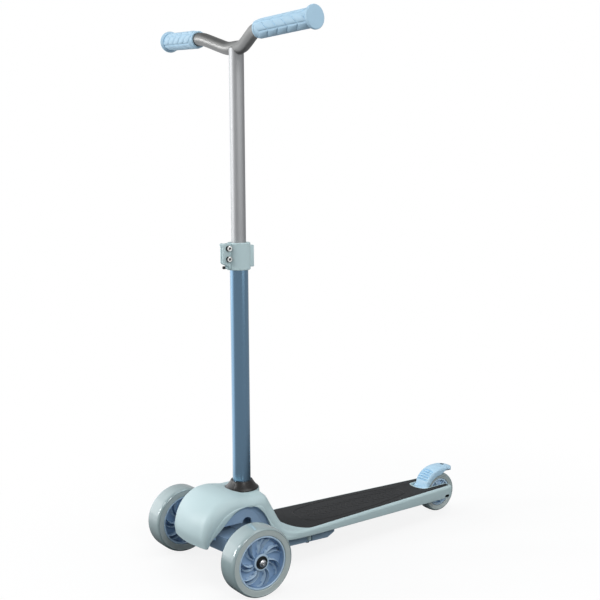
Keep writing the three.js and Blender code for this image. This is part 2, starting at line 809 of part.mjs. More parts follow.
// Closed tray under the deck that guides the truck's tail arm between its buffers.
function springHousing() {
  const slope = (y) =>
    THREE.MathUtils.mapLinear(y, housingStart, housingEnd, housingFrontBottom, housingRearBottom);
  const rear = housingEnd - housingRearRadius;
  const outline = (inset, end) => [
    new THREE.Vector2(housingStart + inset, slope(housingStart) + inset),
    new THREE.Vector2(rear, slope(rear) + inset),
    new THREE.Vector2(end - inset, slope(rear) + housingRearRadius / 2),
    new THREE.Vector2(end - inset, housingTop + (inset ? overrun : 0)),
    new THREE.Vector2(housingStart + inset, housingTop + (inset ? overrun : 0)),
  ];
  const half = housingHalfWidth;
  const shell = prism("x", outline(0, housingEnd), -half, half);
  const inside = half - housingWall;
  const hollow = prism("x", outline(housingWall, housingEnd), -inside, inside);
  const mouth = block(
    [-housingMouthHalfWidth, housingStart - overrun, tailArmBottom - windowMargin],
    [housingMouthHalfWidth, housingStart + housingWall + overrun, housingTop + overrun],
  );
  const spine = block(
    [-spineHalfWidth - gap, housingStart - overrun, spineBottom - gap],
    [spineHalfWidth + gap, spineEnd + gap, housingTop + overrun],
  );
  const screwX = half - housingScrewInset;
  const places = [screwX, -screwX].map((x) => [x, housingScrewStation]);
  const postFoot = slope(housingScrewStation) + housingWall / 2;
  const posts = places.map((place) => rod("z", postFoot, housingTop, housingPostRadius, place));
  const boreRadius = housingScrewRadius + gap;
  const bores = places.map((place) => rod("z", 0, housingTop + overrun, boreRadius, place));
  const body = joined([shell.subtract(hollow).subtract(mouth).subtract(spine), ...posts]);
  return cutFrom(body, bores);
}

// Screw up through a post of the housing into the deck.
function housingScrew(side) {
  const x = side * (housingHalfWidth - housingScrewInset);
  const place = [x, housingScrewStation];
  const bottom = THREE.MathUtils.mapLinear(
    housingScrewStation,
    housingStart,
    housingEnd,
    housingFrontBottom,
    housingRearBottom,
  );
  const under = bottom - gap;
  const head = rod("z", under - housingScrewHeadHeight, under, housingScrewHeadRadius, place);
  return head.add(rod("z", under - gap, housingTop - gap, housingScrewRadius, place));
}

// Rubber block that centres the tail arm and stops the lean.
function leanBuffer(side) {
  const inner = tailArmWidth / 2 + bufferThicknessMargin;
  const outer = housingHalfWidth - housingWall - gap;
  const half = bufferLength / 2;
  const bottom = tailArmBottom;
  const low = [side > 0 ? inner : -outer, bufferStation - half, bottom];
  const high = [side > 0 ? outer : -inner, bufferStation + half, bottom + bufferHeight];
  const post = [side * (housingHalfWidth - housingScrewInset), housingScrewStation];
  const clearance = rod("z", 0, deckTop, housingPostRadius + gap, post);
  return block(low, high).subtract(clearance);
}

// Truck beam with a hub on the pivot shaft and a fork for a steering knuckle at each end.
function truckBeam() {
  const arm = truckArmReach;
  const middle = arm * truckMiddleShare;
  const outline = [
    [-arm, -truckFront * truckEndShare],
    [-middle, -truckFront],
    [middle, -truckFront],
    [arm, -truckFront * truckEndShare],
    [arm, truckBack * truckEndShare],
    [middle, truckBack],
    [-middle, truckBack],
    [-arm, truckBack * truckEndShare],
  ].map(([x, y]) => new THREE.Vector2(x, y));
  const lugRoot = arm * lugRootShare;
  const pivot = [0, pivotHeight];
  const lugs = [kingpinX, -kingpinX].flatMap((x) => [
    rod("z", lugBottom, lugTop, lugRadius, [x, 0], tubeSides),
    block(
      [Math.min(x, Math.sign(x) * lugRoot), -lugRadius, lugBottom],
      [Math.max(x, Math.sign(x) * lugRoot), lugRadius, lugTop],
    ),
  ]);
  const body = joined([
    prism("z", outline, truckBottom, truckTop),
    rod("y", -truckFront, truckBack, truckHubRadius, pivot, tubeSides),
    ...lugs,
  ]);
  const notches = [1, -1].map((side) => {
    const inner = side * (kingpinX - knuckleEyeRadius - knuckleClearance);
    const outer = side * (kingpinX + lugRadius + overrun);
    return block(
      [Math.min(inner, outer), -truckFront, knuckleBottom - gap],
      [Math.max(inner, outer), truckFront, knuckleTop + gap],
    );
  });
  const bores = [kingpinX, -kingpinX].map((x) =>
    rod("z", lugBottom - overrun, lugTop + overrun, kingpinRadius + gap, [x, 0]),
  );
  const screwEnd = truckBack - tailPlateThickness * 2;
  const tapped = rod("y", screwEnd, truckBack + overrun, tailBoltRadius + gap, tailScrewPlace);
  const shaft = rod("y", -truckFront - overrun, truckBack + overrun, pivotRadius + gap, pivot);
  return cutFrom(body, [...notches, ...bores, tapped, shaft]);
}

// Arm behind the truck that reaches back between the buffers.
function tailArm() {
  const front = truckBack + gap;
  const plate = block(
    [-tailPlateWidth / 2, front, truckBottom - gap],
    [tailPlateWidth / 2, front + tailPlateThickness, truckTop - tailPlateTopInset],
  );
  const drop = block(
    [-tailArmWidth / 2, front, tailArmBottom],
    [tailArmWidth / 2, front + tailPlateThickness, pivotHeight - pivotRadius],
  );
  const bar = block(
    [-tailArmWidth / 2, front, tailArmBottom],
    [tailArmWidth / 2, tailArmEnd, tailArmTop],
  );
  const shaft = rod("y", 0, rearBlockFront, pivotRadius + gap, [0, pivotHeight]);
  const bore = rod("y", 0, rearBlockFront, tailBoltRadius + gap, tailScrewPlace);
  return cutFrom(joined([plate, drop, bar]), [shaft, bore]);
}

// Screw that holds the tail arm to the truck.
function tailScrew() {
  const front = truckBack - tailPlateThickness;
  const back = truckBack + gap + tailPlateThickness;
  return rod("y", front, back, tailBoltRadius, tailScrewPlace);
}

// Pin through a fork of the truck and its knuckle, with a round head.
function kingpin(side) {
  const place = [side * kingpinX, 0];
  const head = lugTop + gap;
  return joined([
    rod("z", lugBottom, head + gap, kingpinRadius, place),
    rod("z", head, head + kingpinHeadHeight, kingpinHeadRadius, place),
  ]);
}

// Steering knuckle: an eye on the kingpin, a stub for the axle bolt and an arm for the tie rod.
function knuckle(side) {
  const x = kingpinX;
  const eye = rod("z", knuckleBottom, knuckleTop, knuckleEyeRadius, [x, 0], tubeSides);
  const stubEnd = bossInboard;
  const axle = [0, frontAxleHeight];
  const stub = rod("x", x, stubEnd, stubRadius, axle);
  const half = steeringArmWidth / 2;
  const pinPlace = [x, steeringArmLength];
  const arm = block(
    [x - half, 0, steeringArmBottom],
    [x + half, steeringArmLength, steeringArmTop],
  );
  const armEnd = rod("z", steeringArmBottom, steeringArmTop, half, pinPlace);
  const pinBottom = steeringArmBottom - tieRodPinLength;
  const pin = rod("z", pinBottom, steeringArmTop - gap, tieRodPinRadius, pinPlace);
  const body = joined([eye, stub, arm, armEnd, pin]);
  const left = cutFrom(body, [
    rod("z", 0, knuckleTop + overrun, kingpinRadius + gap, [x, 0]),
    rod("x", axleBoltInner, stubEnd + overrun, axleRadius + gap, axle),
  ]);
  return side > 0 ? left : mirrored(left);
}

// Rod that joins the two steering arms, with an eye over each pin.
function tieRod() {
  const top = tieRodTop;
  const bottom = top - tieRodHeight;
  const y = steeringArmLength;
  const half = tieRodWidth / 2;
  const eyes = [kingpinX, -kingpinX];
  const bar = block([-kingpinX, y - half, bottom], [kingpinX, y + half, top]);
  const body = joined([bar, ...eyes.map((x) => rod("z", bottom, top, tieRodEyeRadius, [x, y]))]);
  const bores = eyes.map((x) =>
    rod("z", bottom - overrun, top + overrun, tieRodPinRadius + tieRodEyeClearance, [x, y]),
  );
  return cutFrom(body, bores);
}

// Solid tyre: a flat tread with round shoulders.
function tyre(radius, width, boreRadius, shoulder, sides, centre, height) {
  const half = width / 2;
  const profile = [[boreRadius, -half]];
  for (const side of [-1, 1]) {
    for (let k = 0; k <= cornerSteps; k++) {
      const angle = (Math.PI / 2) * (side < 0 ? k / cornerSteps : 1 - k / cornerSteps);
      const r = radius - shoulder * (1 - Math.sin(angle));
      profile.push([r, side * (half - shoulder * (1 - Math.cos(angle)))]);
    }
  }
  profile.push([boreRadius, half]);
  return turnedAlongX(profile, sides, centre, height);
}

// Front hub: barrel, web, swirled blades and a boss for two bearings. Its middle is at X = 0.
function frontHub() {
  const half = frontWheelWidth / 2;
  const barrel = half - hubFaceInset;
  const boss = half - hubBossInset;
  const outer = hubOpeningRadius - gap;
  const inner = outer - hubBarrelWall;
  const web = hubWebThickness / 2;
  const seat = bearingOuterRadius + gap;
  const profile = [
    [hubBore, -boss],
    [hubBossRadius, -boss],
    [hubBossRadius, -web],
    [inner, -web],
    [inner, -barrel],
    [outer, -barrel],
    [outer, barrel],
    [inner, barrel],
    [inner, web],
    [hubBossRadius, web],
    [hubBossRadius, boss],
    [hubBore, boss],
  ];
  const body = turnedAlongX(profile, wheelSides, 0, 0);
  const ends = [hubBossRadius - hubBarrelWall / 2, inner + hubBarrelWall / 2];
  const pitch = (2 * Math.PI) / vaneCount;
  const vaneReach = half - vaneInset;
  const crestReach = half - crestInset;
  const vanes = [];
  for (let k = 0; k < vaneCount; k++) {
    const width = pitch * vaneShare;
    vanes.push(prism("x", swirlOutline(pitch * k, width, 0, ends), -vaneReach, vaneReach));
    for (const side of [-0.5, 0.5]) {
      const outline = swirlOutline(pitch * k + width * side, 0, crestThickness, ends);
      vanes.push(prism("x", outline, -crestReach, crestReach));
    }
  }
  const seats = [-1, 1].map((side) => {
    const floor = side * (boss - bearingWidth);
    const mouth = side * (boss + overrun);
    return rod("x", Math.min(floor, mouth), Math.max(floor, mouth), seat, [0, 0], tubeSides);
  });
  return cutFrom(joined([body, ...vanes]), seats);
}

// A vane or crest in the wheel's plane. It leaves the boss straight out and swings round as it
// goes. Its width is an angle and a thickness.
function swirlOutline(turn, width, thickness, [from, to]) {
  const point = (share, side) => {
    const radius = from + (to - from) * share;
    const swing = THREE.MathUtils.degToRad(vaneSweep) * share ** vaneBend;
    const angle = turn + swing + side * (width / 2 + thickness / 2 / radius);
    return new THREE.Vector2(radius * Math.sin(angle), radius * Math.cos(angle));
  };
  const shares = Array.from({ length: vaneSteps + 1 }, (unused, k) => k / vaneSteps);
  const one = shares.map((share) => point(share, 1));
  const other = shares.map((share) => point(share, -1));
  return [...one, ...other.reverse()];
}

// A sealed ball bearing as one ring.
function bearing(from, to, y, z) {
  const [bore, outer] = [bearingBoreRadius, bearingOuterRadius];
  const profile = [
    [bore, from],
    [outer - bearingFaceStep, from],
    [outer, from + bearingFaceStep],
    [outer, to - bearingFaceStep],
    [outer - bearingFaceStep, to],
    [bore, to],
  ];
  return turnedAlongX(profile, tubeSides, y, z);
}

// A plain sleeve on an axle.
const sleeve = (from, to, y, z, wall = spacerWall) =>
  turnedAlongX(
    [
      [bearingBoreRadius, from],
      [bearingBoreRadius + wall, from],
      [bearingBoreRadius + wall, to],
      [bearingBoreRadius, to],
    ],
    smallSides,
    y,
    z,
  );

// Domed bolt through a front wheel into its knuckle.
function frontAxleBolt() {
  const face = bossOutboard + axleWasherThickness + gap * 2;
  const inner = axleBoltInner + gap;
  const dome = boltDomeShares.map(([radiusShare, heightShare]) => [
    axleHeadRadius * radiusShare,
    face + axleHeadHeight * heightShare,
  ]);
  const profile = [[0, inner], [axleRadius, inner], [axleRadius, face], ...dome];
  return turnedAlongX(profile, tubeSides, 0, frontAxleHeight);
}

// Dark cup washer between the bolt head and the outer bearing.
function frontAxleWasher() {
  const from = bossOutboard + gap;
  const to = from + axleWasherThickness;
  return turnedAlongX(
    [
      [bearingBoreRadius, from],
      [axleWasherRadius, from],
      [axleWasherRadius, to],
      [bearingBoreRadius, to],
    ],
    tubeSides,
    0,
    frontAxleHeight,
  );
}

// The pieces of one front wheel, on the left; the right ones are their mirror images.
function frontWheelPieces() {
  const z = frontAxleHeight;
  const inward = bossInboard + bearingWidth;
  const outward = bossOutboard - bearingWidth;
  const width = [frontWheelRadius, frontWheelWidth, hubOpeningRadius, frontTreadShoulder];
  return {
    tyre: tyre(...width, wheelSides, 0, z).translate([frontHalfTrack, 0, 0]),
    hub: frontHub().translate([frontHalfTrack, 0, z]),
    inner_bearing: bearing(bossInboard + gap, inward - gap, 0, z),
    outer_bearing: bearing(outward + gap, bossOutboard - gap, 0, z),
    bearing_spacer: sleeve(inward, outward, 0, z),
    axle_bolt: frontAxleBolt(),
    axle_washer: frontAxleWasher(),
  };
}

function rearHub() {
  const half = rearWheelWidth / 2 - hubFaceInset;
  const outer = rearHubRadius - gap;
  const inner = outer - rearBarrelWall;
  const web = hubWebThickness;
  const boss = bearingOuterRadius + gap + hubBarrelWall;
  const body = turnedAlongX(
    [
      [hubBore, -half],
      [boss, -half],
      [boss, -web],
      [inner, -web],
      [inner, -half],
      [outer, -half],
      [outer, half],
      [inner, half],
      [inner, web],
      [boss, web],
      [boss, half],
      [hubBore, half],
    ],
    rearWheelSides,
    wheelbase,
    rearAxleHeight,
  );
  const axle = [wheelbase, rearAxleHeight];
  const floor = half - bearingWidth;
  return cutFrom(body, [
    rod("x", floor, half + overrun, bearingOuterRadius + gap, axle, tubeSides),
    rod("x", -half - overrun, -floor, bearingOuterRadius + gap, axle, tubeSides),
  ]);
}

function rearWheelPieces() {
  const [y, z] = [wheelbase, rearAxleHeight];
  const half = rearWheelWidth / 2 - hubFaceInset;
  const floor = half - bearingWidth;
  const shape = [rearWheelRadius, rearWheelWidth, rearHubRadius, rearTreadShoulder];
  return {
    rear_tyre: tyre(...shape, rearWheelSides, y, z),
    rear_hub: rearHub(),
    rear_left_bearing: bearing(floor + gap, half - gap, y, z),
    rear_right_bearing: bearing(gap - half, -floor - gap, y, z),
    rear_bearing_spacer: sleeve(-floor, floor, y, z),
  };
}

// Pin through both arms of the deck, which carries the rear wheel.
function rearAxlePin() {
  const reach = deckHalfWidth(wheelbase) - axlePocketDepth;
  return rod("x", -reach, reach, axleRadius, [wheelbase, rearAxleHeight]);
}

const rearAxleSpacer = (side) => {
  const inner = rearWheelWidth / 2 - hubFaceInset;
  const outer = slotHalfWidth - gap;
  const ends = side > 0 ? [inner, outer] : [-outer, -inner];
  return sleeve(...ends, wheelbase, rearAxleHeight, spacerWall);
};

// A point beside the rear wheel, by its angle from the vertical and its radius.
const aroundRearWheel = (degrees, radius) => {
  const angle = THREE.MathUtils.degToRad(degrees);
  const y = wheelbase + radius * Math.sin(angle);
  return new THREE.Vector2(y, rearAxleHeight + radius * Math.cos(angle));
};

// The fender's ribs, which stand across the wheel and point at its axle.
function fenderRibs() {
  const keys = fenderRadiusShares.map(([angle, share]) =>
    aroundRearWheel(angle, share * rearWheelRadius),
  );
  const centre = new THREE.Vector2(wheelbase, rearAxleHeight);
  return new THREE.SplineCurve(keys).getPoints(fenderSteps).map((top) => {
    const out = top.clone().sub(centre);
    const angle = THREE.MathUtils.radToDeg(Math.atan2(out.x, out.y));
    const share = THREE.MathUtils.smoothstep(angle, brakeTongueLead, brakeTongueStart);
    const tongue = out.length() - brakeTongueDepth;
    const radius = THREE.MathUtils.lerp(brakeSideShare * rearWheelRadius, tongue, share);
    const edge = out.setLength(radius).add(centre);
    return { angle, top, edge, halfWidth: brakeHalfWidth, corner: brakeCorner, swell: brakeSwell };
  });
}

// Pad under the fender's top that rubs on the tread.
function brakePad() {
  const inner = rearWheelRadius + brakePadClearance;
  const outer = rearWheelRadius * brakePadRootShare;
  const ends = [-brakePadEnd, brakePadEnd];
  const lower = [...ends, 0].sort((a, b) => a - b).map((angle) => aroundRearWheel(angle, inner));
  const upper = ends.map((angle) => aroundRearWheel(angle, outer));
  return prism("x", [...lower, ...upper.reverse()], -brakePadHalfWidth, brakePadHalfWidth);
}

// Brake fender: a crowned channel over the wheel with a solid tongue, a pad and a hinge boss.
function brakeFender() {
  const ribs = fenderRibs();
  const tongue = ribs.filter((rib) => rib.angle >= brakeTongueStart);
  const half = brakeHalfWidth;
  const pin = [brakePinStation, brakePinHeight];
  const boss = rod("x", -half, half, brakeBossRadius, pin);
  const [footAngle, footShare] = fenderRadiusShares[0];
  const foot = footShare * rearWheelRadius - brakeSwell;
  const neck = [
    new THREE.Vector2(brakePinStation - brakeBossRadius * brakeNeckFrontShare, brakePinHeight),
    new THREE.Vector2(brakePinStation + brakeBossRadius * brakeNeckBackShare, brakePinHeight),
    aroundRearWheel(footAngle + brakeNeckLap, foot - brakeSwell),
    aroundRearWheel(footAngle + brakeNeckLap, foot),
  ];
  const body = joined([
    lofted(ribs, brakeWall),
    lofted(tongue, 0),
    boss,
    prism("x", neck, -half, half),
    brakePad(),
  ]);
  return cutFrom(body.intersect(fenderPlan()), [
    rod("x", -half - overrun, half + overrun, brakePinRadius + gap, pin),
    rod("z", deckTop + overrun, aboveFender, brakeHoleRadius, [0, brakeHoleStation]),
    ...fenderGrooves(),
  ]);
}

// The fender seen from above: straight sides and a round tongue.
function fenderPlan() {
  const last = fenderRadiusShares.at(-1);
  const end = aroundRearWheel(last[0], last[1] * rearWheelRadius).x;
  const centre = end - brakeTongueRadius;
  const front = brakePinStation - brakeBossRadius - overrun;
  const half = brakeHalfWidth + gap;
  const points = [new THREE.Vector2(-half, front), new THREE.Vector2(half, front)];
  for (let k = 0; k <= matSteps; k++) {
    const angle = Math.PI * (k / matSteps);
    const y = centre + brakeTongueRadius * Math.sin(angle);
    points.push(new THREE.Vector2(half * Math.cos(angle), y));
  }
  return prism("z", points, 0, aboveFender);
}

// Shallow grooves across the front slope of the fender.
function fenderGrooves() {
  const [[first, firstShare], [last, lastShare]] = [fenderRadiusShares[1], fenderRadiusShares[3]];
  const half = brakeGrooveHalfLength;
  const grooves = [];
  for (let k = 0; k < brakeGrooveCount; k++) {
    const share = k / brakeGrooveCount;
    const surface = THREE.MathUtils.lerp(firstShare, lastShare, share) * rearWheelRadius;
    const radius = surface - brakeGrooveDepth + brakeGrooveWidth / 2;
    const angle = THREE.MathUtils.lerp(first, last, share);
    const { x: y, y: z } = aroundRearWheel(angle, radius);
    grooves.push(rod("x", -half, half, brakeGrooveWidth / 2, [y, z], hexSides));
  }
  return grooves;
}

const brakePin = () =>
  rod("x", -brakePinReach, brakePinReach, brakePinRadius, [brakePinStation, brakePinHeight]);

// Torsion spring on the hinge pin, beside the fender's boss, as one plain coil.
function brakeSpring() {
  const from = brakeHalfWidth + gap;
  const to = slotHalfWidth - gap * 2;
  const place = [brakePinStation, brakePinHeight];
  const coil = rod("x", from, to, brakeSpringRadius, place);
  return coil.subtract(rod("x", from - overrun, to + overrun, brakePinRadius + gap, place));
}

// Lower tube of the steering column, open at both ends.
function columnTube() {
  const place = [0, columnStation];
  const body = rod("z", columnBottom, columnTop, columnRadius, place, tubeSides);
  const low = columnBottom - overrun;
  const ahead = columnStation - columnRadius - overrun;
  const boltHalf = columnRadius + overrun;
  return cutFrom(body, [
    rod("z", low, columnTop + overrun, columnRadius - columnWall, place, tubeSides),
    rod("x", -boltHalf, boltHalf, columnBoltRadius + gap, [columnStation, columnBoltHeight]),
    rod("y", ahead, columnStation, buttonRadius + gap, [0, buttonHeight]),
  ]);
}

// Flared cover round the foot of the column.
function columnBoot() {
  const bore = columnRadius + gap;
  const bottom = seatHeight + gap;
  const flare = bootRadius - bore - bootNeckWall;
  const profile = [
    [bore, bottom],
    [bootRadius, bottom],
    [bootRadius, bottom + bootRim],
  ];
  const steps = cornerSteps + 1;
  for (let k = 1; k <= steps; k++) {
    const share = k / steps;
    const r = bootRadius - flare * share ** bootBend;
    profile.push([r, bottom + bootRim + (bootHeight - bootRim) * share]);
  }
  profile.push([bore, bottom + bootHeight]);
  return turnedAlongZ(profile, tubeSides, 0, columnStation);
}

// Cross bolt that keeps the column in its socket.
function columnBolt() {
  const reach = columnRadius + gap * 2 + chassisSocketWall;
  const place = [columnStation, columnBoltHeight];
  return joined([
    rod("x", -reach, reach + gap, columnBoltRadius, place),
    rod("x", reach, reach + columnBoltHeadHeight, columnBoltHeadRadius, place, hexSides),
  ]);
}

// Collar that grips the upper tube: a slit between two ears, a back rib and a button boss.
function heightClamp() {
  const place = [0, columnStation];
  const half = clampEarThickness / 2;
  const bore = columnRadius + gap;
  const lip = upperTubeRadius + gap * 2;
  const collar = turnedAlongZ(
    [
      [bore, clampBottom],
      [clampRadius - clampEdge, clampBottom],
      [clampRadius, clampBottom + clampEdge],
      [clampRadius, clampTop - clampEdge],
      [clampRadius - clampEdge, clampTop],
      [lip, clampTop],
      [lip, columnTop + gap],
      [bore, columnTop + gap],
    ],
    clampSides,
    0,
    columnStation,
  );
  const backEar = columnStation - columnRadius;
  const ears = prism(
    "x",
    [
      new THREE.Vector2(backEar - clampEdge, clampBottom + clampEdge),
      new THREE.Vector2(clampEarStation + clampEarThickness, clampEarBottom - clampEdge * 2),
      new THREE.Vector2(clampEarStation, clampEarBottom),
      new THREE.Vector2(clampEarStation, clampTop - clampEdge * 2),
      new THREE.Vector2(clampEarStation + clampEdge * 2, clampTop),
      new THREE.Vector2(backEar - clampEdge, clampTop),
    ],
    -half,
    half,
  );
  const ribHalf = clampRibThickness / 2;
  const rib = block(
    [-ribHalf, columnStation + columnRadius + clampEdge, clampBottom + clampRibInset],
    [ribHalf, columnStation + clampRibReach, clampTop - clampRibTopInset],
  );
  const bossFront = columnStation - buttonBossReach;
  const boss = rod("y", bossFront, backEar - clampEdge, buttonBossRadius, [0, buttonHeight]);
  const body = joined([collar, ears, rib, boss]);
  const slitHalf = clampSlit / 2;
  const bolts = clampBoltHeights().map((z) =>
    rod("x", -half - overrun, half + overrun, clampBoltRadius + gap, [clampBoltStation, z]),
  );
  return cutFrom(body, [
    block(
      [-slitHalf, clampEarStation - overrun, clampEarBottom + clampEdge],
      [slitHalf, columnStation, clampTop + overrun],
    ),
    rod("z", clampBottom - overrun, columnTop + gap, bore, place, clampSides),
    rod("y", bossFront - overrun, columnStation, buttonRadius + gap, [0, buttonHeight]),
    ...bolts,
  ]);
}

function clampBoltHeights() {
  const upper = clampTop - clampBoltDrop;
  return [upper, upper - clampBoltSpacing];
}

// Socket head bolt through both ears, with its head on the left.
function clampBolt(z) {
  const half = clampEarThickness / 2;
  const place = [clampBoltStation, z];
  const end = half + gap + clampBoltHeadHeight;
  const tip = -half - gap - clampNutHeight - clampBoltTip;
  const body = joined([
    rod("x", tip, half + gap * 2, clampBoltRadius, place),
    rod("x", half + gap, end, clampBoltHeadRadius, place, tubeSides),
  ]);
  const floor = end - clampSocketDepth;
  return body.subtract(rod("x", floor, end + overrun, clampSocketRadius, place, hexSides));
}

function clampNut(z) {
  const half = clampEarThickness / 2;
  const place = [clampBoltStation, z];
  const to = -half - gap;
  const from = to - clampNutHeight;
  const bore = rod("x", from - overrun, to + overrun, clampBoltRadius + gap, place);
  return rod("x", from, to, clampNutRadius, place, hexSides).subtract(bore);
}

// Sleeve that takes up the space between the two tubes.
function guideBushing() {
  const place = [0, columnStation];
  const top = columnTop - bushingTopInset;
  const bottom = top - bushingLength;
  const outer = rod("z", bottom, top, columnRadius - columnWall - gap, place, tubeSides);
  const bore = rod("z", bottom - overrun, top + overrun, upperTubeRadius + gap, place, tubeSides);
  const button = rod("y", 0, columnStation, buttonRadius + gap, [0, buttonHeight]);
  return cutFrom(outer, [bore, button]);
}

// Push button for the height lock, which slides in the clamp's boss.
function lockButton() {
  const front = columnStation - buttonBossReach - buttonProud;
  const back = columnStation - columnRadius - gap * 4 + buttonTravel / 2;
  return rod("y", front, back, buttonRadius, [0, buttonHeight]);
}

// Upper tube, with its top shaped to the underside of the handlebar.
function upperTube() {
  const place = [0, columnStation];
  const top = barSaddleHeight;
  const body = rod("z", upperTubeBottom, top, upperTubeRadius, place, tubeSides);
  const hollow = upperTubeRadius - upperTubeWall;
  return cutFrom(body, [
    rod("z", upperTubeBottom - overrun, top + overrun, hollow, place, tubeSides),
    solidOf(barGeometry(barRadius + gap, 0)),
  ]);
}

// Plug in the foot of the upper tube that slides in the column.
function tubePlug() {
  const bottom = upperTubeBottom - gap;
  return turnedAlongZ(
    [
      [0, bottom - tubePlugFlange],
      [columnRadius - columnWall - gap, bottom - tubePlugFlange],
      [columnRadius - columnWall - gap, bottom],
      [upperTubeRadius - upperTubeWall - gap, bottom],
      [upperTubeRadius - upperTubeWall - gap, bottom + tubePlugLength],
      [0, bottom + tubePlugLength],
    ],
    tubeSides,
    0,
    columnStation,
  );
}

const gripDirection = () => new THREE.Vector3(1, gripBackShare, gripUpShare).normalize();
const gripStart = () =>
  new THREE.Vector3(gripInner, columnStation - barForward, barSaddleHeight + barRise);

// The bar's middle line, from the end in the left grip to the end in the right one.
function barPath() {
  const start = gripStart();
  const direction = gripDirection();
  const onGrip = (distance) => start.clone().addScaledVector(direction, distance);
  const bends = barBendShares.map(
    ([out, forward, rise]) =>
      new THREE.Vector3(
        gripInner * out,
        columnStation - barForward * forward,
        barSaddleHeight + barRise * rise,
      ),
  );
  const left = [onGrip(barInGrip), onGrip(barLeadIn), start, ...bends.reverse()];
  const right = left.map((point) => point.clone().setX(-point.x)).reverse();
  const middle = new THREE.Vector3(0, columnStation, barSaddleHeight);
  return new THREE.CatmullRomCurve3([...left, middle, ...right], false, "centripetal");
}

// A round section along the bar's middle line, hollow when a bore is given.
function barGeometry(radius, bore) {
  const section = new THREE.Shape().absarc(0, 0, radius, 0, 2 * Math.PI);
  if (bore) section.holes.push(new THREE.Path().absarc(0, 0, bore, 0, 2 * Math.PI, true));
  return new THREE.ExtrudeGeometry(section, {
    steps: barSteps,
    extrudePath: barPath(),
    bevelEnabled: false,
    curveSegments: barSides / 2,
  });
}

const handlebar = () => solidOf(barGeometry(barRadius, barRadius - barWall));

// Grip with a collar at its inner end and a broad flange at its outer end.
function grip(side) {
  const bore = barRadius + gap * 2;
  const bodyEnd = gripLength - gripFlangeLength;
  const profile = [
    [0, barInGrip + gap * 2],
    [bore, barInGrip + gap * 2],
    [bore, 0],
    [gripCollarRadius, 0],
    [gripCollarRadius, gripCollarLength],
    [gripRadius, gripCollarLength + gripDome],
    [gripRadius, bodyEnd - gripDome * 2],
    [gripFlangeRadius - gripDome, bodyEnd],
    [gripFlangeRadius, bodyEnd + gripDome],
    [gripFlangeRadius, gripLength - gripDome],
    [gripFlangeRadius - gripDome, gripLength],
    [0, gripLength],
  ];
  const upright = new THREE.Vector3(0, 1, 0);
  const turn = new THREE.Quaternion().setFromUnitVectors(upright, gripDirection());
  const start = gripStart();
  const geometry = turned(profile, tubeSides).applyQuaternion(turn).translate(...start.toArray());
  return side > 0 ? solidOf(geometry) : mirrored(solidOf(geometry));
}

// The scooter as a scene graph: one named mesh for each piece, grouped as the pieces are carried.
const scooter = new THREE.Group();

function group(parent = scooter) {
  const child = new THREE.Group();
  parent.add(child);
  return child;
}

function addPiece(parent, name, solid, material) {
  const mesh = new THREE.Mesh(geometryOf(solid), material);
  mesh.name = name;
  parent.add(mesh);
}

const deck = group();
addPiece(deck, "deck_moulding", deckMoulding(), palePlastic);
addPiece(deck, "grip_mat", gripMat(), matBlack);
addPiece(deck, "chassis_frame", chassisFrame(), bluePlastic);
addPiece(deck, "spring_housing", springHousing(), bluePlastic);
addPiece(deck, "left_housing_screw", housingScrew(1), brightSteel);
addPiece(deck, "right_housing_screw", housingScrew(-1), brightSteel);
addPiece(deck, "left_lean_buffer", leanBuffer(1), rubber);
addPiece(deck, "right_lean_buffer", leanBuffer(-1), rubber);
addPiece(deck, "front_pivot_bush", frontPivotBush(), darkPlastic);
addPiece(deck, "rear_pivot_bush", rearPivotBush(), darkPlastic);
addPiece(deck, "rear_axle_pin", rearAxlePin(), darkSteel);
addPiece(deck, "rear_left_spacer", rearAxleSpacer(1), brightSteel);
addPiece(deck, "rear_right_spacer", rearAxleSpacer(-1), brightSteel);
addPiece(deck, "brake_hinge_pin", brakePin(), darkSteel);
addPiece(deck, "brake_spring", brakeSpring(), brightSteel);

const column = group(deck);
addPiece(column, "column_tube", columnTube(), blueTube);
addPiece(column, "column_boot", columnBoot(), darkPlastic);
addPiece(column, "column_bolt", columnBolt(), darkSteel);
addPiece(column, "guide_bushing", guideBushing(), darkPlastic);
addPiece(column, "height_clamp", heightClamp(), palePlastic);
["upper", "lower"].forEach((place, k) => {
  addPiece(column, `${place}_clamp_bolt`, clampBolt(clampBoltHeights()[k]), brightSteel);
  addPiece(column, `${place}_clamp_nut`, clampNut(clampBoltHeights()[k]), darkSteel);
});
addPiece(column, "lock_button", lockButton(), darkPlastic);

const tBar = group(column);
addPiece(tBar, "upper_tube", upperTube(), aluminium);
addPiece(tBar, "tube_plug", tubePlug(), darkPlastic);
addPiece(tBar, "handlebar", handlebar(), aluminium);
addPiece(tBar, "left_grip", grip(1), gripBlue);
addPiece(tBar, "right_grip", grip(-1), gripBlue);

const truck = group(deck);
addPiece(truck, "truck_beam", truckBeam(), bluePlastic);
addPiece(truck, "pivot_shaft", pivotShaft(), brightSteel);
addPiece(truck, "tail_arm", tailArm(), darkSteel);
addPiece(truck, "tail_screw", tailScrew(), brightSteel);
addPiece(truck, "left_kingpin", kingpin(1), darkSteel);
addPiece(truck, "right_kingpin", kingpin(-1), darkSteel);
addPiece(truck, "tie_rod", tieRod(), darkSteel);

const wheelFinishes = {
  tyre: paleTyre,
  hub: bluePlastic,
  inner_bearing: darkSteel,
  outer_bearing: darkSteel,
  bearing_spacer: brightSteel,
  axle_bolt: brightSteel,
  axle_washer: darkSteel,
};
for (const [name, side] of [
  ["left", 1],
  ["right", -1],
]) {
  const corner = group(truck);
  addPiece(corner, `${name}_knuckle`, knuckle(side), bluePlastic);
  for (const [piece, solid] of Object.entries(frontWheelPieces())) {
    const placed = side > 0 ? solid : mirrored(solid);
    addPiece(corner, `${name}_${piece}`, placed, wheelFinishes[piece]);
  }
}

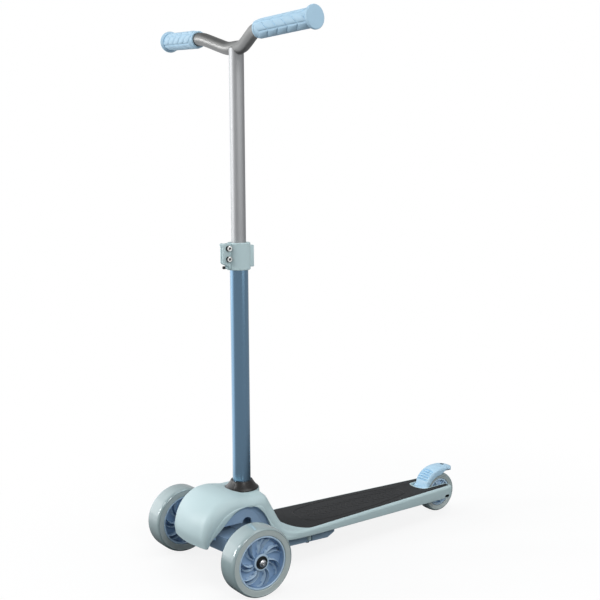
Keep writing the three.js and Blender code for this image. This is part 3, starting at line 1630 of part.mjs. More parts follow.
const rearWheel = group(deck);
const rearFinishes = { rear_tyre: paleTyre, rear_hub: bluePlastic };
for (const [name, solid] of Object.entries(rearWheelPieces())) {
  addPiece(rearWheel, name, solid, rearFinishes[name] ?? darkSteel);
}

const brake = group(deck);
addPiece(brake, "brake_fender", brakeFender(), brakeBlue);

// The part's origin is on the ground, under the middle of its length and width.
const part = new THREE.Group();
part.add(scooter);
const bounds = new THREE.Box3().setFromObject(scooter);
scooter.position.y = -(bounds.min.y + bounds.max.y) / 2;

export default part;
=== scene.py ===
"""Looks of a child's three wheel scooter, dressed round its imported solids.

Sizes are millimetres on the drawing: X to the rider's left, Y back from the front axle, Z up from
the ground. Drawing.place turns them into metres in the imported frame.
"""

import logging
import math
from dataclasses import dataclass, field, replace
from enum import Enum
from typing import Any, Callable, Sequence

import bmesh
import bpy
from mathutils import Matrix, Vector


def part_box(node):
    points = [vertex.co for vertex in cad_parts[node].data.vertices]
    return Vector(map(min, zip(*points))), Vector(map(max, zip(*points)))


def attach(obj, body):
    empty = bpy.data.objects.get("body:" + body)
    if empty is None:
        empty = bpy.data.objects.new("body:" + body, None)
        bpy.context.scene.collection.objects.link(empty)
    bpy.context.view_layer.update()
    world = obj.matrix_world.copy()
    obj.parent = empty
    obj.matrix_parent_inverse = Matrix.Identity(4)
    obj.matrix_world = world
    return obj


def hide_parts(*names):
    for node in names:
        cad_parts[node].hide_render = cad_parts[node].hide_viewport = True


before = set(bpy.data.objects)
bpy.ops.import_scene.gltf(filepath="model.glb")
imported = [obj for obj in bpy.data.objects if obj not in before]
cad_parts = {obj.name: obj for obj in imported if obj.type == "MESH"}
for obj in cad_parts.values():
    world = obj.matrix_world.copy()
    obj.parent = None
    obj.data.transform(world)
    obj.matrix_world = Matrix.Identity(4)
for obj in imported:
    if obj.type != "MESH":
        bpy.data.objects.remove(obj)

LOG = logging.getLogger("scooter")
MM = 0.001
WELD = 2e-6  # metres; points this close are one point
TAU = 2 * math.pi

Point = tuple[float, float, float]
Flat = tuple[float, float]
Piece = bpy.types.Object
Mesh = bpy.types.Mesh
Material = bpy.types.Material
Socket = bpy.types.NodeSocket

# Places that several parts share, in millimetres on the drawing; a pair is Y and Z.
COLUMN_Y = 53.7
COLUMN_SEAT = 141.0
REAR_AXLE: Flat = (527.0, 40.0)
BRAKE_HINGE: Flat = (482.5, 50.0)


class Axis(Enum):
    """Axis that a shape is turned about or drawn along."""

    X = 0
    Y = 1
    Z = 2

    def put(self, flat: Flat, along: float) -> Point:
        """Place of a flat point, whose two numbers are the other axes in order."""
        return (*flat[: self.value], along, *flat[self.value :])


class Ends(Enum):
    """What is done with the first and last ring of a skin."""

    CAPPED = "capped"
    JOINED = "joined"


class Cut(Enum):
    """What a tool does to a body."""

    AWAY = "DIFFERENCE"
    ADD = "UNION"
    KEEP = "INTERSECT"


class Side(Enum):
    """Side of the scooter, as the rider sees it."""

    LEFT = 1
    RIGHT = -1

    @property
    def word(self) -> str:
        """First word of the names of this side's nodes."""
        return self.name.lower()


class Input(Enum):
    """Kinds of input that a recipe takes."""

    NUMBER = "NodeSocketFloat"
    COUNT = "NodeSocketInt"
    PLACE = "NodeSocketVector"
    FINISH = "NodeSocketMaterial"
    SHAPE = "NodeSocketGeometry"


@dataclass(frozen=True)
class Drawing:
    """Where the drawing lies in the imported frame.

    Attributes:
        front_axle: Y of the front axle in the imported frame, in metres.
    """

    front_axle: float

    @classmethod
    def of_frame(cls) -> "Drawing":
        """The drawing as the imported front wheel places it."""
        low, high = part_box("left_tyre")
        return cls((low.y + high.y) / 2)

    def place(self, point: Sequence[float]) -> Vector:
        """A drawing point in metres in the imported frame."""
        return Vector((point[0] * MM, point[1] * MM + self.front_axle, point[2] * MM))


DRAWING = Drawing.of_frame()


def lerp(low: float, high: float, share: float) -> float:
    """Value at a share of the way from low to high."""
    return low + (high - low) * share


def steps(count: int) -> list[float]:
    """Shares from 0 to 1 in that many equal steps."""
    return [k / count for k in range(count + 1)]


def smooth(share: float) -> float:
    """Soft step of a share, held between 0 and 1."""
    held = min(1.0, max(0.0, share))
    return held * held * (3 - 2 * held)


def rows_between(rows: Sequence[Sequence[float]], time: float) -> list[float]:
    """Values of the smooth curve through rows of numbers, as the solids are drawn.

    Args:
        rows: Rows at times 0, 1, 2 and so on.
        time: Place along the rows.

    Returns:
        The row of values at that time.
    """
    after = min(int(time) + 1, len(rows) - 1)
    before = after - 1
    p = time - before
    first, last = before == 0, after == len(rows) - 1
    lead, trail = (-0.5 if first else 0.5), (-0.5 if last else 0.5)
    previous = rows[after] if first else rows[before - 1]
    following = rows[before] if last else rows[after + 1]
    shares = (
        lead * (-(p**3) + 2 * p**2 - p),
        (1 + lead) * p**3 - (1.5 + 2 * lead) * p**2 + (lead - 0.5) * p + 1,
        -(1 + trail) * p**3 + (1.5 + trail) * p**2 + 0.5 * p,
        trail * (p**3 - p**2),
    )
    four = (previous, rows[before], rows[after], following)
    return [sum(s * row[k] for s, row in zip(shares, four)) for k in range(len(rows[0]))]


def curve_through(keys: Sequence[Vector], per_span: int, centripetal: bool) -> list[Vector]:
    """Points of a Catmull-Rom curve through keys.

    Args:
        keys: Points that the curve passes.
        per_span: Steps between two keys.
        centripetal: True spaces the knots by the root of the distance, and runs the ends on.

    Returns:
        The curve's points, the first and last key among them.
    """
    if centripetal:
        start, end = 2 * keys[0] - keys[1], 2 * keys[-1] - keys[-2]
    else:
        start, end = keys[0], keys[-1]
    run = [start, *keys, end]
    points: list[Vector] = []
    for k in range(1, len(run) - 2):
        p0, p1, p2, p3 = run[k - 1 : k + 3]
        d0, d1, d2 = 1.0, 1.0, 1.0
        if centripetal:
            d0, d1, d2 = ((b - a).length ** 0.5 for a, b in ((p0, p1), (p1, p2), (p2, p3)))
        leave = ((p1 - p0) / d0 - (p2 - p0) / (d0 + d1) + (p2 - p1) / d1) * d1
        arrive = ((p2 - p1) / d1 - (p3 - p1) / (d1 + d2) + (p3 - p2) / d2) * d1
        for t in steps(per_span)[:-1]:
            bend = (-3 * p1 + 3 * p2 - 2 * leave - arrive) * t**2
            turn = (2 * p1 - 2 * p2 + leave + arrive) * t**3
            points.append(p1 + leave * t + bend + turn)
    return [*points, keys[-1].copy()]


def arc(centre: Flat, radius: Flat, start: float, end: float, count: int) -> list[Flat]:
    """Points of an arc with a radius for each axis, its angles in degrees."""
    angles = [math.radians(lerp(start, end, t)) for t in steps(count)]
    return [(centre[0] + radius[0] * math.cos(a), centre[1] + radius[1] * math.sin(a)) for a in angles]


@dataclass
class Shape:
    """Surfaces in the making, in millimetres on the drawing.

    Attributes:
        points: Corner points.
        faces: Faces, as numbers of points.
        finishes: The finish number of each face.
    """

    points: list[Point] = field(default_factory=list)
    faces: list[tuple[int, ...]] = field(default_factory=list)
    finishes: list[int] = field(default_factory=list)

    def skin(
        self,
        rings: Sequence[Sequence[Point]],
        ends: Ends = Ends.CAPPED,
        closed: bool = True,
        finish_of: Callable[[int, int], int] = lambda ring, k: 0,
    ) -> "Shape":
        """Adds a skin over rings that have the same number of points.

        Args:
            rings: The rings in order.
            ends: What closes the first and last ring.
            closed: Whether each ring closes on itself.
            finish_of: Finish number of the face that starts at a ring and point.

        Returns:
            This shape.
        """
        base, count = len(self.points), len(rings[0])
        self.points.extend(tuple(p) for ring in rings for p in ring)
        spans = len(rings) if ends is Ends.JOINED else len(rings) - 1
        for ring in range(spans):
            here, there = base + ring * count, base + ((ring + 1) % len(rings)) * count
            for k in range(count if closed else count - 1):
                after = (k + 1) % count
                self.faces.append((here + k, here + after, there + after, there + k))
                self.finishes.append(finish_of(ring, k))
        if ends is Ends.CAPPED:
            last = base + (len(rings) - 1) * count
            self.faces.append(tuple(range(base, base + count)))
            self.faces.append(tuple(reversed(range(last, last + count))))
            self.finishes.extend((finish_of(0, 0), finish_of(len(rings) - 2, 0)))
        return self

    def turned(
        self,
        profile: Sequence[Flat],
        axis: Axis,
        centre: Flat = (0.0, 0.0),
        sides: int = 96,
        closed: bool = False,
        finish_of: Callable[[int], int] = lambda k: 0,
    ) -> "Shape":
        """Adds a turned shape.

        Args:
            profile: Points as radius and height along the axis.
            axis: Axis that it turns about.
            centre: The axis' place on the other two axes.
            sides: Number of facets round it.
            closed: Whether the profile closes on itself, as a ring's does.
            finish_of: Finish number of the band that starts at a profile point.

        Returns:
            This shape.
        """
        rings = []
        for k in range(sides):
            cos, sin = math.cos(TAU * k / sides), math.sin(TAU * k / sides)
            rings.append([axis.put((centre[0] + r * cos, centre[1] + r * sin), h) for r, h in profile])
        return self.skin(rings, Ends.JOINED, closed, lambda ring, k: finish_of(k))

    def drawn(self, outline: Sequence[Flat], axis: Axis, low: float, high: float) -> "Shape":
        """Adds a flat outline drawn out along an axis."""
        return self.skin([[axis.put(p, level) for p in outline] for level in (low, high)])

    def rod(
        self, axis: Axis, low: float, high: float, radius: float, centre: Flat, sides: int = 48
    ) -> "Shape":
        """Adds a round bar along an axis."""
        return self.turned([(0, low), (radius, low), (radius, high), (0, high)], axis, centre, sides)

    def block(self, low: Point, high: Point) -> "Shape":
        """Adds a box between two corners."""
        outline = [low[:2], (high[0], low[1]), high[:2], (low[0], high[1])]
        return self.drawn(outline, Axis.Z, low[2], high[2])

    def moved(self, change: Callable[[Point], Point]) -> "Shape":
        """A copy whose points are changed one by one."""
        return Shape([change(p) for p in self.points], list(self.faces), list(self.finishes))

    def piece(self, name: str, placed: bool = True) -> Piece:
        """Makes the object, with its doubles merged and its faces outwards.

        Args:
            name: Name of the object.
            placed: False leaves the points about the drawing's origin, for a recipe to place.

        Returns:
            The object at the origin, with its place in its mesh.
        """
        mesh = bpy.data.meshes.new(name)
        where = DRAWING.place if placed else (lambda p: Vector(p) * MM)
        mesh.from_pydata([where(p) for p in self.points], [], self.faces)
        mesh.polygons.foreach_set("material_index", self.finishes)
        return welded(linked(name, mesh))


def linked(name: str, mesh: bpy.types.ID) -> Piece:
    """A new object in the scene.

    Args:
        name: Its name.
        mesh: Its mesh, lamp or camera.

    Returns:
        The object.
    """
    piece = bpy.data.objects.new(name, mesh)
    bpy.context.scene.collection.objects.link(piece)
    return piece


def welded(piece: Piece) -> Piece:
    """Merges a closed piece's double points and turns its faces outwards.

    Args:
        piece: The piece.

    Returns:
        The piece.
    """
    work = bmesh.new()
    work.from_mesh(piece.data)
    bmesh.ops.remove_doubles(work, verts=work.verts, dist=WELD)
    bmesh.ops.dissolve_degenerate(work, edges=work.edges, dist=WELD / 4)
    bmesh.ops.recalc_face_normals(work, faces=work.faces)
    work.to_mesh(piece.data)
    work.free()
    return piece


def discard(*pieces: Piece) -> None:
    """Removes objects that were only tools."""
    for piece in pieces:
        bpy.data.objects.remove(piece)


def baked(piece: Piece) -> Piece:
    """Turns a piece and its modifiers into a plain mesh.

    Args:
        piece: The piece.

    Returns:
        The piece.
    """
    graph = bpy.context.evaluated_depsgraph_get()
    mesh = bpy.data.meshes.new_from_object(piece.evaluated_get(graph))
    piece.modifiers.clear()
    piece.data = mesh
    return piece


def carved(body: Piece, cut: Cut, *tools: Piece) -> Piece:
    """Changes a body by tools, one after the other, and removes them.

    Args:
        body: The piece to change.
        cut: What each tool does.
        *tools: Closed pieces that are used up.

    Returns:
        The body as a plain mesh.
    """
    for tool in tools:
        change = body.modifiers.new("change", "BOOLEAN")
        change.solver = "MANIFOLD"
        change.operation = cut.value
        change.object = tool
    baked(body)
    discard(*tools)
    return body


def rounded(piece: Piece, width: float, segments: int = 2) -> Piece:
    """Rounds a piece's sharp edges.

    Args:
        piece: The piece.
        width: Width of the rounding in millimetres.
        segments: Facets across the rounding.

    Returns:
        The piece as a plain mesh.
    """
    bevel = piece.modifiers.new("edges", "BEVEL")
    bevel.width = width * MM
    bevel.segments = segments
    bevel.limit_method = "ANGLE"
    bevel.angle_limit = math.radians(30)
    return baked(piece)


def shaded(piece: Piece, angle: float = 35, weighted: bool = False) -> Piece:
    """Gives a piece smooth shading that stops at sharp edges.

    Args:
        piece: The piece.
        angle: Edges over this many degrees stay sharp.
        weighted: True keeps flat faces flat beside rounded edges.

    Returns:
        The piece.
    """
    work = bmesh.new()
    work.from_mesh(piece.data)
    for face in work.faces:
        face.smooth = True
    for edge in work.edges:
        edge.smooth = len(edge.link_faces) != 2 or edge.calc_face_angle(0) < math.radians(angle)
    work.to_mesh(piece.data)
    work.free()
    if weighted:
        normals = piece.modifiers.new("normals", "WEIGHTED_NORMAL")
        normals.keep_sharp = True
        baked(piece)
    return piece


def joined(name: str, *pieces: Piece) -> Piece:
    """One object from several, with their finishes kept.

    Args:
        name: Name of the object.
        *pieces: Pieces that are used up.

    Returns:
        The object, with each material once.
    """
    work = bmesh.new()
    materials: list[Material] = []
    for piece in pieces:
        before = len(work.faces)
        work.from_mesh(piece.data)
        work.faces.ensure_lookup_table()
        own = list(piece.data.materials)
        materials += [material for material in own if material not in materials]
        for face in work.faces[before:]:
            face.material_index = materials.index(own[face.material_index])
    whole = linked(name, bpy.data.meshes.new(name))
    work.to_mesh(whole.data)
    work.free()
    for material in materials:
        whole.data.materials.append(material)
    discard(*pieces)
    return whole


def copied(node: str, name: str) -> Piece:
    """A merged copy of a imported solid, with its flat faces whole.

    Args:
        node: Name of the solid.
        name: Name of the copy.

    Returns:
        The copy, without a finish.
    """
    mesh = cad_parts[node].data.copy()
    mesh.materials.clear()
    work = bmesh.new()
    work.from_mesh(mesh)
    bmesh.ops.remove_doubles(work, verts=work.verts, dist=WELD * 2)
    flat = math.radians(1)
    bmesh.ops.dissolve_limit(work, angle_limit=flat, verts=work.verts, edges=work.edges)
    work.to_mesh(mesh)
    work.free()
    return linked(name, mesh)


def unit_of(piece: Piece) -> Mesh:
    """The mesh of a piece that is used up, for a recipe to repeat.

    Args:
        piece: The piece.

    Returns:
        Its mesh.
    """
    mesh = piece.data
    discard(piece)
    return mesh


def softened(piece: Piece, width: float, segments: int = 2) -> Piece:
    """Rounds a piece's edges and keeps its flat faces flat."""
    return shaded(rounded(piece, width, segments), 40, True)


def dressed(piece: Piece, *materials: Material) -> Piece:
    """Gives a piece its materials, in the order of its finish numbers, which are kept.

    Args:
        piece: The piece.
        *materials: One for each finish number.

    Returns:
        The piece.
    """
    numbers = [min(face.material_index, len(materials) - 1) for face in piece.data.polygons]
    piece.data.materials.clear()
    for material in materials:
        piece.data.materials.append(material)
    piece.data.polygons.foreach_set("material_index", numbers)
    return piece


def marked(piece: Piece, number: int, *materials: Material) -> Piece:
    """Gives every face of a piece one of its materials.

    Args:
        piece: The piece.
        number: Finish number of the one that is used.
        *materials: One for each finish number.

    Returns:
        The piece.
    """
    dressed(piece, *materials)
    piece.data.polygons.foreach_set("material_index", [number] * len(piece.data.polygons))
    return piece


def mounted(piece: Piece, body: str, slot: str, *nodes: str) -> None:
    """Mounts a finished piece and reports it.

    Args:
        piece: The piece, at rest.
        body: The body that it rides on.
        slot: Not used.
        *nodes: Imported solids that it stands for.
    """
    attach(piece, body)
    if nodes:
        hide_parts(*nodes)
    LOG.info("%s rides on %s, %d faces", piece.name, body, len(piece.data.polygons))


class Wire:
    """A value that runs through a node tree, with the arithmetic of numbers."""

    def __init__(self, nodes: "Nodes", socket: Socket) -> None:
        """Wraps a socket of those nodes."""
        self.nodes = nodes
        self.socket = socket

    def __add__(self, other: "Wire | float") -> "Wire":
        """Sum."""
        return self.nodes.maths("ADD", self, other)

    __radd__ = __add__

    def __mul__(self, other: "Wire | float") -> "Wire":
        """Product."""
        return self.nodes.maths("MULTIPLY", self, other)

    __rmul__ = __mul__

    def __sub__(self, other: "Wire | float") -> "Wire":
        """Difference."""
        return self.nodes.maths("SUBTRACT", self, other)

    def __rsub__(self, other: "Wire | float") -> "Wire":
        """Difference from a number."""
        return self.nodes.maths("SUBTRACT", other, self)

    def __truediv__(self, other: "Wire | float") -> "Wire":
        """Quotient."""
        return self.nodes.maths("DIVIDE", self, other)

    def __rtruediv__(self, other: "Wire | float") -> "Wire":
        """Quotient of a number by this."""
        return self.nodes.maths("DIVIDE", other, self)

    def between(self, low: float, high: float) -> "Wire":
        """Soft step from 0 to 1.

        Args:
            low: Value where it starts.
            high: Value where it ends.

        Returns:
            The step.
        """
        soft = {"interpolation_type": "SMOOTHSTEP"}
        inputs = {"Value": self, "From Min": low, "From Max": high}
        return Wire(self.nodes, self.nodes.node("ShaderNodeMapRange", soft, inputs))


class Nodes:
    """The nodes of a finish, a recipe or the sky."""

    def __init__(self, tree: bpy.types.NodeTree) -> None:
        """Empties a tree and wraps it."""
        self.tree = tree
        tree.nodes.clear()

    def plug(self, socket: Socket, value: Any) -> None:
        """Links a wire or socket to an input, or sets its value.

        Args:
            socket: The input.
            value: What it gets.
        """
        source = value.socket if isinstance(value, Wire) else value
        if isinstance(source, Socket):
            self.tree.links.new(source, socket)
        else:
            socket.default_value = value

    def node(
        self, kind: str, settings: dict[str, Any], inputs: dict[Any, Any], output: str = ""
    ) -> Socket | None:
        """Makes a node.

        Args:
            kind: The node's type.
            settings: Its properties.
            inputs: Values and links by the name or number of an input.
            output: Name of the output that is wanted.

        Returns:
            That output, or else the first in use.
        """
        made = self.tree.nodes.new(kind)
        for name, value in settings.items():
            setattr(made, name, value)
        shown = [s for s in made.inputs if s.enabled]
        for key, value in inputs.items():
            socket = shown[key] if isinstance(key, int) else next(s for s in shown if s.name == key)
            self.plug(socket, value)
        return next((s for s in made.outputs if s.enabled and s.name == (output or s.name)), None)

    def maths(self, operation: str, *operands: Wire | float) -> Wire:
        """A Math node on wires and numbers."""
        return Wire(self, self.node("ShaderNodeMath", {"operation": operation}, dict(enumerate(operands))))

    def measure(self, operation: str, *operands: Any) -> Wire:
        """The number that a Vector Math node gives."""
        inputs = dict(enumerate(operands))
        return Wire(self, self.node("ShaderNodeVectorMath", {"operation": operation}, inputs))

    def blend(self, share: Any, first: Socket, second: Socket) -> Socket:
        """A shader between two shaders."""
        return self.node("ShaderNodeMixShader", {}, {0: share, 1: first, 2: second})


class Paint(Nodes):
    """The nodes of one finish, with one shader."""

    def __init__(self, name: str) -> None:
        """Starts a material with a bare shader.

        Args:
            name: Name of the material.
        """
        self.material = bpy.data.materials.new(name)
        self.material.use_nodes = True
        super().__init__(self.material.node_tree)
        skin = self.node("ShaderNodeBsdfPrincipled", {}, {})
        self.shader = skin.node
        self.node("ShaderNodeOutputMaterial", {}, {"Surface": skin})
        self.output = skin.links[0].to_socket

    def mixed(self, share: Wire, first: Any, second: Any) -> Socket:
        """A colour between two colours."""
        return self.node("ShaderNodeMix", {"data_type": "RGBA"}, {"Factor": share, "A": first, "B": second})

    def surface(self, *scale: float) -> Socket:
        """Object coordinates, stretched by a scale for each axis if one is given."""
        place = self.node("ShaderNodeTexCoord", {}, {}, "Object")
        return self.node("ShaderNodeVectorMath", {"operation": "MULTIPLY"}, {0: place, 1: scale or (1, 1, 1)})

    def noise(self, where: Socket, scale: float, detail: float = 3, roughness: float = 0.5) -> Wire:
        """Soft noise from 0 to 1."""
        inputs = {"Vector": where, "Scale": scale, "Detail": detail, "Roughness": roughness}
        return Wire(self, self.node("ShaderNodeTexNoise", {}, inputs))

    def cells(self, where: Socket, scale: float) -> Wire:
        """Distance to the nearest of scattered points."""
        return Wire(self, self.node("ShaderNodeTexVoronoi", {}, {"Vector": where, "Scale": scale}))

    def relief(self, height: Wire, depth: float) -> None:
        """Feeds the normal with relief, its depth in millimetres."""
        inputs = {"Strength": 1.0, "Distance": depth * MM, "Height": height}
        self.feed("Normal", self.node("ShaderNodeBump", {}, inputs))

    def tone(self, colour: str, share: Wire, dark: float, light: float) -> None:
        """Feeds the base colour, which wanders between two levels of one colour."""
        self.feed("Base Color", self.mixed(share, tint(colour, dark), tint(colour, light)))

    def coat(self, weight: float, roughness: float) -> None:
        """Adds a clear coat."""
        self.feed("Coat Weight", weight)
        self.feed("Coat Roughness", roughness)

    def feed(self, name: str, value: Any) -> None:
        """Sets or links one of the shader's own inputs."""
        self.plug(self.shader.inputs[name], value)


def tint(code: str, level: float = 1.0) -> tuple[float, float, float, float]:
    """Linear colour from a code, made lighter or darker.

    Args:
        code: Six hexadecimal digits.
        level: Factor on each channel.

    Returns:
        Red, green, blue and 1.
    """
    channels = [int(code[k : k + 2], 16) / 255 for k in (0, 2, 4)]
    linear = [c / 12.92 if c <= 0.04045 else ((c + 0.055) / 1.055) ** 2.4 for c in channels]
    red, green, blue = (min(1.0, c * level) for c in linear)
    return (red, green, blue, 1.0)


@dataclass(frozen=True)
class Finish:
    """What every finish has.

    Attributes:
        name: Name of the material.
        colour: Six hexadecimal digits.
        roughness: Mean roughness.
    """

    name: str
    colour: str
    roughness: float


@dataclass(frozen=True)
class Moulded(Finish):
    """Moulded plastic with a fine spark grain.

    Attributes:
        grain: Depth of the grain in millimetres.
        coat: Weight of the clear skin.
        grain_scale: Grains in a metre.
        mottle: How much the tone wanders.
    """

    grain: float
    coat: float = 0.0
    grain_scale: float = 1400
    mottle: float = 0.05

    def material(self) -> Material:
        """Builds the finish.

        Returns:
            The material.
        """
        paint = Paint(self.name)
        where = paint.surface()
        tone = paint.noise(where, 14, 4)
        fleck = paint.noise(where, self.grain_scale, 2)
        paint.tone(self.colour, tone * 0.7 + fleck * 0.3, 1 - self.mottle, 1 + self.mottle)
        paint.feed("Roughness", self.roughness + (tone - 0.5) * 0.12 + (fleck - 0.5) * 0.08)
        paint.coat(self.coat, 0.12)
        paint.relief(fleck, self.grain)
        return paint.material


@dataclass(frozen=True)
class Cast(Finish):
    """Cast urethane, glossy with faint flow marks round the wheel.

    Attributes:
        coat: Weight of the clear skin.
        scuff: How much duller and darker the wandering patches are.
    """

    coat: float
    scuff: float = 0.05

    def material(self) -> Material:
        """Builds the finish.

        Returns:
            The material.
        """
        paint = Paint(self.name)
        flow = paint.noise(paint.surface(1, 0.25, 0.25), 60)
        speck = paint.noise(paint.surface(), 900, 2)
        patch = (flow * 0.8 + speck * 0.2).between(0.25, 0.8)
        paint.tone(self.colour, patch, 1 - self.scuff, 1.03)
        paint.feed("Roughness", self.roughness + patch * self.scuff)
        paint.coat(self.coat, 0.06)
        paint.relief(speck, 0.015)
        return paint.material


@dataclass(frozen=True)
class Rubber(Finish):
    """Soft rubber with a pebbled skin.

    Attributes:
        pebble: Pebbles in a metre.
        depth: Depth of the pebbles in millimetres.
        top_lift: How much lighter the tops are.
    """

    pebble: float
    depth: float
    top_lift: float

    def material(self) -> Material:
        """Builds the finish.

        Returns:
            The material.
        """
        paint = Paint(self.name)
        where = paint.surface()
        tone = paint.noise(where, 22, 4)
        top = (1 - paint.cells(where, self.pebble)).between(0.3, 0.9)
        # the pebbles' tops are made lighter than their sides
        paint.tone(self.colour, top * 0.6 + tone * 0.4, 1 - self.top_lift, 1 + self.top_lift)
        paint.feed("Roughness", self.roughness + (tone - 0.5) * 0.15)
        paint.relief(top, self.depth)
        return paint.material


@dataclass(frozen=True)
class Metal(Finish):
    """Bare or plated metal with grinding marks.

    Attributes:
        metallic: How metallic it is.
        depth: Depth of the marks in millimetres.
        contrast: How much the marks change the tone.
        marks: Scale of the marks for each axis; a low number runs them long.
        coat: Weight of a clear coat.
    """

    metallic: float
    depth: float
    contrast: float
    marks: Point = (1.0, 1.0, 1.0)
    coat: float = 0.0

    def material(self) -> Material:
        """Builds the finish.

        Returns:
            The material.
        """
        paint = Paint(self.name)
        lines = paint.noise(paint.surface(*self.marks), 1600, 3, 0.65)
        tone = paint.noise(paint.surface(), 18)
        paint.tone(self.colour, lines * 0.65 + tone * 0.35, 1 - self.contrast, 1 + self.contrast)
        paint.feed("Metallic", self.metallic)
        paint.feed("Roughness", self.roughness + (lines - 0.5) * 0.12)
        paint.coat(self.coat, 0.08)
        paint.relief(lines, self.depth)
        return paint.material


class Finishes:
    """Every finish of the scooter, each made once."""

    def __init__(self) -> None:
        """Makes the materials."""
        self.pale = Moulded("pale_plastic", "bdd3d6", 0.44, 0.03).material()
        self.blue = Moulded("blue_plastic", "93afcb", 0.34, 0.025, 0.2).material()
        self.hub = Moulded("hub_plastic", "bcd6eb", 0.2, 0.015, 0.6).material()
        # darker copy of the brake's blue: painted shade on the faces of the grooves
        self.groove_shade = Moulded("brake_groove_shade", "9ac6e2", 0.4, 0.02).material()
        # darker copy of the hub's blue: painted shade on the web and in the blades' dishes
        self.web = Moulded("hub_web_painted_shade", "8aa8c8", 0.36, 0.02).material()
        self.tray = Moulded("tray_plastic", "8199ad", 0.42, 0.025).material()
        self.brake = Moulded("brake_plastic", "b4d6ec", 0.4, 0.025).material()
        self.dark = Moulded("dark_plastic", "1b1817", 0.36, 0.02, 0.1).material()
        self.bush = Moulded("bush_plastic", "3a3a3c", 0.5, 0.02).material()
        # black for the lock button, the mat's tread and the axle pockets, and painted shade in the bolt
        # sockets and the brake's hole
        self.black = Moulded("black_and_painted_shade", "141516", 0.55, 0.01).material()
        self.grip = Rubber("grip_rubber", "accde2", 0.55, 1300, 0.05, 0.04).material()
        # darker copy of the grip's blue: painted shade for the groove under the panels
        self.groove = Rubber("grip_groove_shade", "7ba6c6", 0.65, 1300, 0.05, 0.06).material()
        self.mat = Rubber("mat_rubber", "232426", 0.85, 520, 0.25, 0.16).material()
        self.buffer = Rubber("buffer_rubber", "1f1f20", 0.8, 900, 0.06, 0.15).material()
        self.tread = Cast("tyre_tread", "9aadaf", 0.14, 1.0).material()
        self.side = Cast("tyre_side", "bac6c5", 0.36, 0.2).material()
        self.tube = Metal("blue_tube", "7c9fba", 0.2, 0.92, 0.0015, 0.02, (1, 1, 0.02), 0.5).material()
        self.brushed = Metal("brushed_tube", "b2b3b4", 0.58, 1.0, 0.003, 0.05, (1, 1, 0.01)).material()
        self.satin = Metal("satin_bar", "7c7c7b", 0.45, 1.0, 0.004, 0.05, (0.6, 0.6, 0.6)).material()
        self.bright = Metal("bright_steel", "dcdddf", 0.12, 1.0, 0.003, 0.03).material()
        self.nickel = Metal("nickel_plate", "f1f1ef", 0.24, 0.6, 0.003, 0.03).material()
        self.steel = Metal("dark_steel", "4d5254", 0.38, 0.9, 0.01, 0.12).material()


class Recipe(Nodes):
    """A geometry node tree with named inputs, whose result is realised and given its finish."""

    def __init__(self, name: str) -> None:
        """Starts a tree that takes a shape.

        Args:
            name: Name of the tree.
        """
        super().__init__(bpy.data.node_groups.new(name, "GeometryNodeTree"))
        self.tree.interface.new_socket("Shape", in_out="OUTPUT", socket_type=Input.SHAPE.value)
        self.source = self.size("Shape", Input.SHAPE)

    @property
    def index(self) -> Wire:
        """Number of each copy."""
        return Wire(self, self.node("GeometryNodeInputIndex", {}, {}))

    def size(self, name: str, kind: Input = Input.NUMBER, value: Any = None) -> Wire:
        """Adds a named input.

        Args:
            name: The input's name.
            kind: Its kind.
            value: Its value where none is given.

        Returns:
            The wire that carries it.
        """
        made = self.tree.interface.new_socket(name, in_out="INPUT", socket_type=kind.value)
        if value is not None:
            made.default_value = value
        return Wire(self, self.node("NodeGroupInput", {}, {}, name))

    def vector(self, x: Any, y: Any, z: Any) -> Socket:
        """A vector from wires and numbers."""
        return self.node("ShaderNodeCombineXYZ", {}, {0: x, 1: y, 2: z})

    def turned(self, angle: Wire) -> Socket:
        """A turn about the X axis."""
        return self.node("FunctionNodeEulerToRotation", {}, {0: self.vector(angle, 0.0, 0.0)})

    def repeat(self, count: Wire, place: Any, **changes: Any) -> "Recipe":
        """Ends the tree with the shape at a number of places.

        Args:
            count: Number of copies.
            place: Place of each copy.
            **changes: Rotation and scale of each copy.

        Returns:
            This recipe.
        """
        points = self.node("GeometryNodePoints", {}, {"Count": count, "Position": place})
        inputs = {"Points": points, "Instance": self.source, **changes}
        return self.close(self.node("GeometryNodeInstanceOnPoints", {}, inputs))

    def sweep(self, path: Socket, sides: Any, radius: Wire) -> Socket:
        """A round section along a curve, with closed ends.

        Args:
            path: The curve.
            sides: Number of the section's sides.
            radius: Its radius.

        Returns:
            The swept shape.
        """
        ring = self.node("GeometryNodeCurvePrimitiveCircle", {}, {"Resolution": sides, "Radius": radius})
        inputs = {"Curve": path, "Profile Curve": ring, "Fill Caps": True}
        return self.node("GeometryNodeCurveToMesh", {}, inputs)

    def close(self, shape: Socket) -> "Recipe":
        """Ends the tree with real geometry in the finish.

        Args:
            shape: The geometry.

        Returns:
            This recipe.
        """
        finish = self.size("Finish", Input.FINISH)
        real = self.node("GeometryNodeRealizeInstances", {}, {"Geometry": shape})
        soft = self.node("GeometryNodeSetShadeSmooth", {}, {"Geometry": real})
        done = self.node("GeometryNodeSetMaterial", {}, {"Geometry": soft, "Material": finish})
        self.node("NodeGroupOutput", {}, {"Shape": done})
        return self

    def make(self, name: str, source: Mesh | None, finish: Material, **sizes: Any) -> Piece:
        """Runs the recipe.

        Args:
            name: Name of the object.
            source: Mesh that the recipe repeats or follows.
            finish: The material.
            **sizes: Values of the named inputs, in metres, counts and radians.

        Returns:
            A plain mesh at the origin.
        """
        piece = linked(name, source or bpy.data.meshes.new(name))
        modifier = piece.modifiers.new("recipe", "NODES")
        modifier.node_group = self.tree
        values = {**sizes, "Finish": finish}
        for item in self.tree.interface.items_tree:
            if item.in_out == "INPUT" and item.name in values:
                modifier[item.identifier] = values[item.name]
        return welded(baked(piece))


